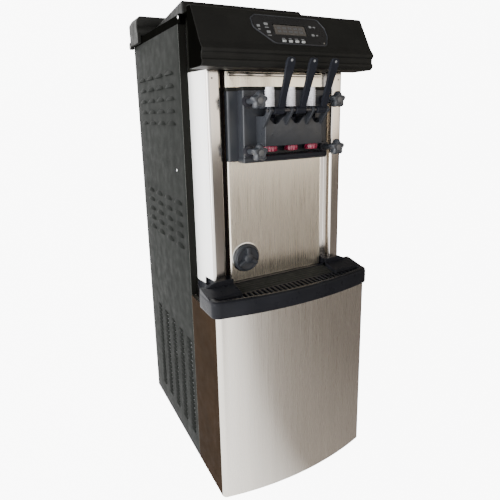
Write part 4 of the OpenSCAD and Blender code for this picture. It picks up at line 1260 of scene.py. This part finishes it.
def cover():
    """Lid on its plate, the taller hump behind it, and cheeks, straps and hinge barrels."""
    shell = cut(lid(0, COVER_Z, COVER_TOP - 2 * MM, 5 * MM),
                lid(3 * MM, COVER_Z - 9 * MM, COVER_TOP - 2 * MM, 0))
    plate = block((-236 * MM, FRONT_Y + 30 * MM, COVER_Z),
                  (236 * MM, HUMP_Y + 2 * MM, COVER_Z + 3 * MM), 1.4 * MM)
    cut(plate, block((-213 * MM, LID_Y + 3 * MM, COVER_Z - 5 * MM),
                     (213 * MM, HUMP_Y + 9 * MM, COVER_Z + 9 * MM), 0))
    half, low, top = COVER_HALF, COVER_HALF - 14 * MM, COVER_TOP
    outline = [(-low, COVER_Z), (low, COVER_Z), (half, COVER_Z + 10 * MM), (half, top - 18 * MM),
               (half - 12 * MM, top), (12 * MM - half, top), (-half, top - 18 * MM),
               (-half, COVER_Z + 10 * MM)]
    hump = prism(outline, "y", HUMP_Y, BACK_Y - 2 * MM, 3.5 * MM, 4)
    inner = [(a - math.copysign(3 * MM, a), b - 3 * MM) for a, b in outline]
    hollow = prism(inner, "y", HUMP_Y + 3 * MM, BACK_Y - 5 * MM)
    groove = block((-half - 1 * MM, HUMP_Y - 5 * MM, top - 34 * MM),
                   (half + 1 * MM, HUMP_Y + 1.2 * MM, top - 32 * MM), 0)
    cut(hump, hollow, groove)
    parts = [shell, plate, hump]
    barrel = mm((4.2, -7), (11.5, -7), (13, -5.5), (13, 5.5), (11.5, 7), (4.2, 7))
    near, far = HALF_W + 1 * MM, HALF_W + 7 * MM
    for side in SIDES:
        parts.append(side_block(side, (near, HALF_W + 14 * MM), (HUMP_Y, BACK_Y - 2 * MM),
                                (SIDE_TOP + 3 * MM, COVER_Z + 12 * MM), 2 * MM))
        parts.append(lathe(barrel, "x", (side * (HALF_W + 8 * MM), BACK_Y + 2 * MM, HINGE_Z), 48))
        parts.append(side_block(side, (near, far), (BACK_Y - 18 * MM, BACK_Y + 4 * MM),
                                (HINGE_Z, COVER_Z + 14 * MM), 1.2 * MM))
        parts.append(side_block(side, (HALF_W - 5 * MM, far), (BACK_Y - 18 * MM, BACK_Y - 2 * MM),
                                (COVER_Z, COVER_Z + 14 * MM), 1.2 * MM))
    piece(joined(all_painted(parts, "black")), "hopper_lid", "hopper_cover", "black_moulding",
          "hopper_cover")


cover()


def screws():
    """Domed heads with a dimple, on the sides and the back."""
    places = []
    for side in SIDES:
        places.append(("x", side, (side * HALF_W, FRONT_Y - 8 * MM, SIDE_TOP + 16 * MM), 4.5 * MM))
        places.append(("x", side, (side * HALF_W, FRONT_Y + 73 * MM, 1002 * MM), 4 * MM))
    for x in (-230, 230):
        for z in (60, 620, 1380):
            places.append(("y", 1, (x * MM, BACK_Y, z * MM), 4.5 * MM))
    parts = []
    for axis, side, centre, r in places:
        profile = [(r * share, side * out * MM) for share,
                   out in ((1, 0), (1, 0.5), (0.8, 1.3), (0.4, 1.75), (0.2, 1.2))]
        parts.append(lathe(profile, axis, centre, 24))
    piece(joined(all_painted(parts, "bright")), "screw_heads", "cabinet", "bright_steel",
          "panel_screws")


screws()


# ---------- stage, lights and camera ----------

PAPER_WHITE = 9.0  # strength at which the view transform shows white


def stage():
    """Floor that curves up into a backdrop behind the machine.

    The camera sees it white. To light and reflections it glows at the left and darkens to the
    right, which gives the bowed front its run from light to dark.
    """
    profile = [(-14, 0), (6, 0)]
    for angle in range(10, 91, 10):
        a = math.radians(angle)
        profile.append((6 + 4 * math.sin(a), 4 - 4 * math.cos(a)))
    profile.append((10, 16))
    bm = bmesh.new()
    rows = [[bm.verts.new((x, y, z)) for x in (-16, 16)] for y, z in profile]
    for a, b in zip(rows, rows[1:]):
        for face in bridge(bm, a, b):
            face.smooth = True
    n = Nodes("floor_pale")
    split = n.add("SeparateXYZ", Vector=n.coords)
    across = n.ramp(mapped(n.tree, split.outputs["X"], -1, 2), (0.0, 3.0), (0.245, 2.8),
                    (0.35, (0.36, 0.32, 0.29)), (0.60, (0.09, 0.07, 0.06)),
                    (1.0, (0.07, 0.055, 0.045)))
    seen = n.add("LightPath").outputs["Is Camera Ray"]
    n.set(Base_Color=n.ramp(n.noise(3), (0.3, (0.22, 0.21, 0.20)), (0.7, (0.25, 0.24, 0.23))),
          Roughness=0.8, Specular_IOR_Level=0.1, Emission_Strength=1.0,
          Emission_Color=colour_mix(n.tree, seen, across, (PAPER_WHITE,) * 3))
    floor = painted(from_bmesh(bm), n.material)
    floor.name = "floor"


def world():
    """White to the camera; to light and reflections a room.

    The room is bright at the left, and again, warmer, to the right before it falls off. From
    floor to ceiling it is brightest at the horizon and nearly black overhead.
    """
    studio = bpy.data.worlds.new("studio")
    bpy.context.scene.world = studio
    studio.use_nodes = True
    tree = studio.node_tree
    tree.nodes.clear()
    coords = add_node(tree, "TexCoord")
    split = add_node(tree, "SeparateXYZ", Vector=coords.outputs["Generated"])
    across = [(0.0, 2.5), (0.25, 1.7), (0.52, (1.2, 1.17, 1.13)), (0.66, (2.1, 1.96, 1.76)),
              (0.80, (1.8, 1.62, 1.38)), (1.0, (0.25, 0.22, 0.19))]
    height = [(0.0, (0.5, 0.48, 0.45)), (0.42, 0.9), (0.5, 1.5), (0.58, 1.25), (0.72, 0.28),
              (1.0, 0.06)]
    across, height = (colour_ramp(tree, mapped(tree, split.outputs[axis], -1, 1), stops)
                      for axis, stops in (("X", across), ("Z", height)))
    room = add_node(tree, "Background", Strength=1.0,
                    Color=colour_mix(tree, 1.0, across, height, "MULTIPLY"))
    shown = add_node(tree, "Background", Strength=PAPER_WHITE, Color=(1, 1, 1, 1))
    mix = add_node(tree, "MixShader", Fac=add_node(tree, "LightPath").outputs["Is Camera Ray"])
    for socket, side in ((mix.inputs[1], room), (mix.inputs[2], shown)):
        tree.links.new(side.outputs["Background"], socket)
    add_node(tree, "OutputWorld", Surface=mix.outputs["Shader"])


def area(name, place, target, size, power):
    light = bpy.data.lights.new(name, "AREA")
    light.shape = "RECTANGLE"
    light.size, light.size_y = size
    light.energy = power
    obj = make_object(light, name)
    obj.location = place
    turn = (Vector(target) - Vector(place)).to_track_quat("-Z", "Y")
    obj.rotation_euler = turn.to_euler()


def camera():
    """The photograph's camera, as solved from its perspective."""
    yaw, pitch, roll = 0.474, 0.217, -0.026
    forward = Vector((math.sin(yaw) * math.cos(pitch), math.cos(yaw) * math.cos(pitch),
                      -math.sin(pitch)))
    level = Vector((math.cos(yaw), -math.sin(yaw), 0))
    over = level.cross(forward)
    right = level * math.cos(roll) + over * math.sin(roll)
    up = over * math.cos(roll) - level * math.sin(roll)
    data = bpy.data.cameras.new("camera")
    data.lens = 31.35
    data.sensor_width = 36
    data.shift_x = 0.0209
    data.shift_y = -0.0822
    obj = make_object(data, "camera")
    turn = Matrix((right, up, -forward)).transposed().to_4x4()
    obj.matrix_world = Matrix.Translation((-0.7185, FRONT_Y - 1.22346, 1.1722)) @ turn
    bpy.context.scene.camera = obj


stage()
world()
area("key", (-1.6, -2.6, 2.5), (0, -0.1, 0.9), (1.2, 1.2), 30)
area("left", (-3.0, -0.7, 1.4), (-0.25, -0.15, 1.0), (2.0, 2.6), 110)
area("back_left", (-2.6, 1.2, 1.8), (-0.2, 0, 0.8), (1.2, 2.0), 30)
camera()
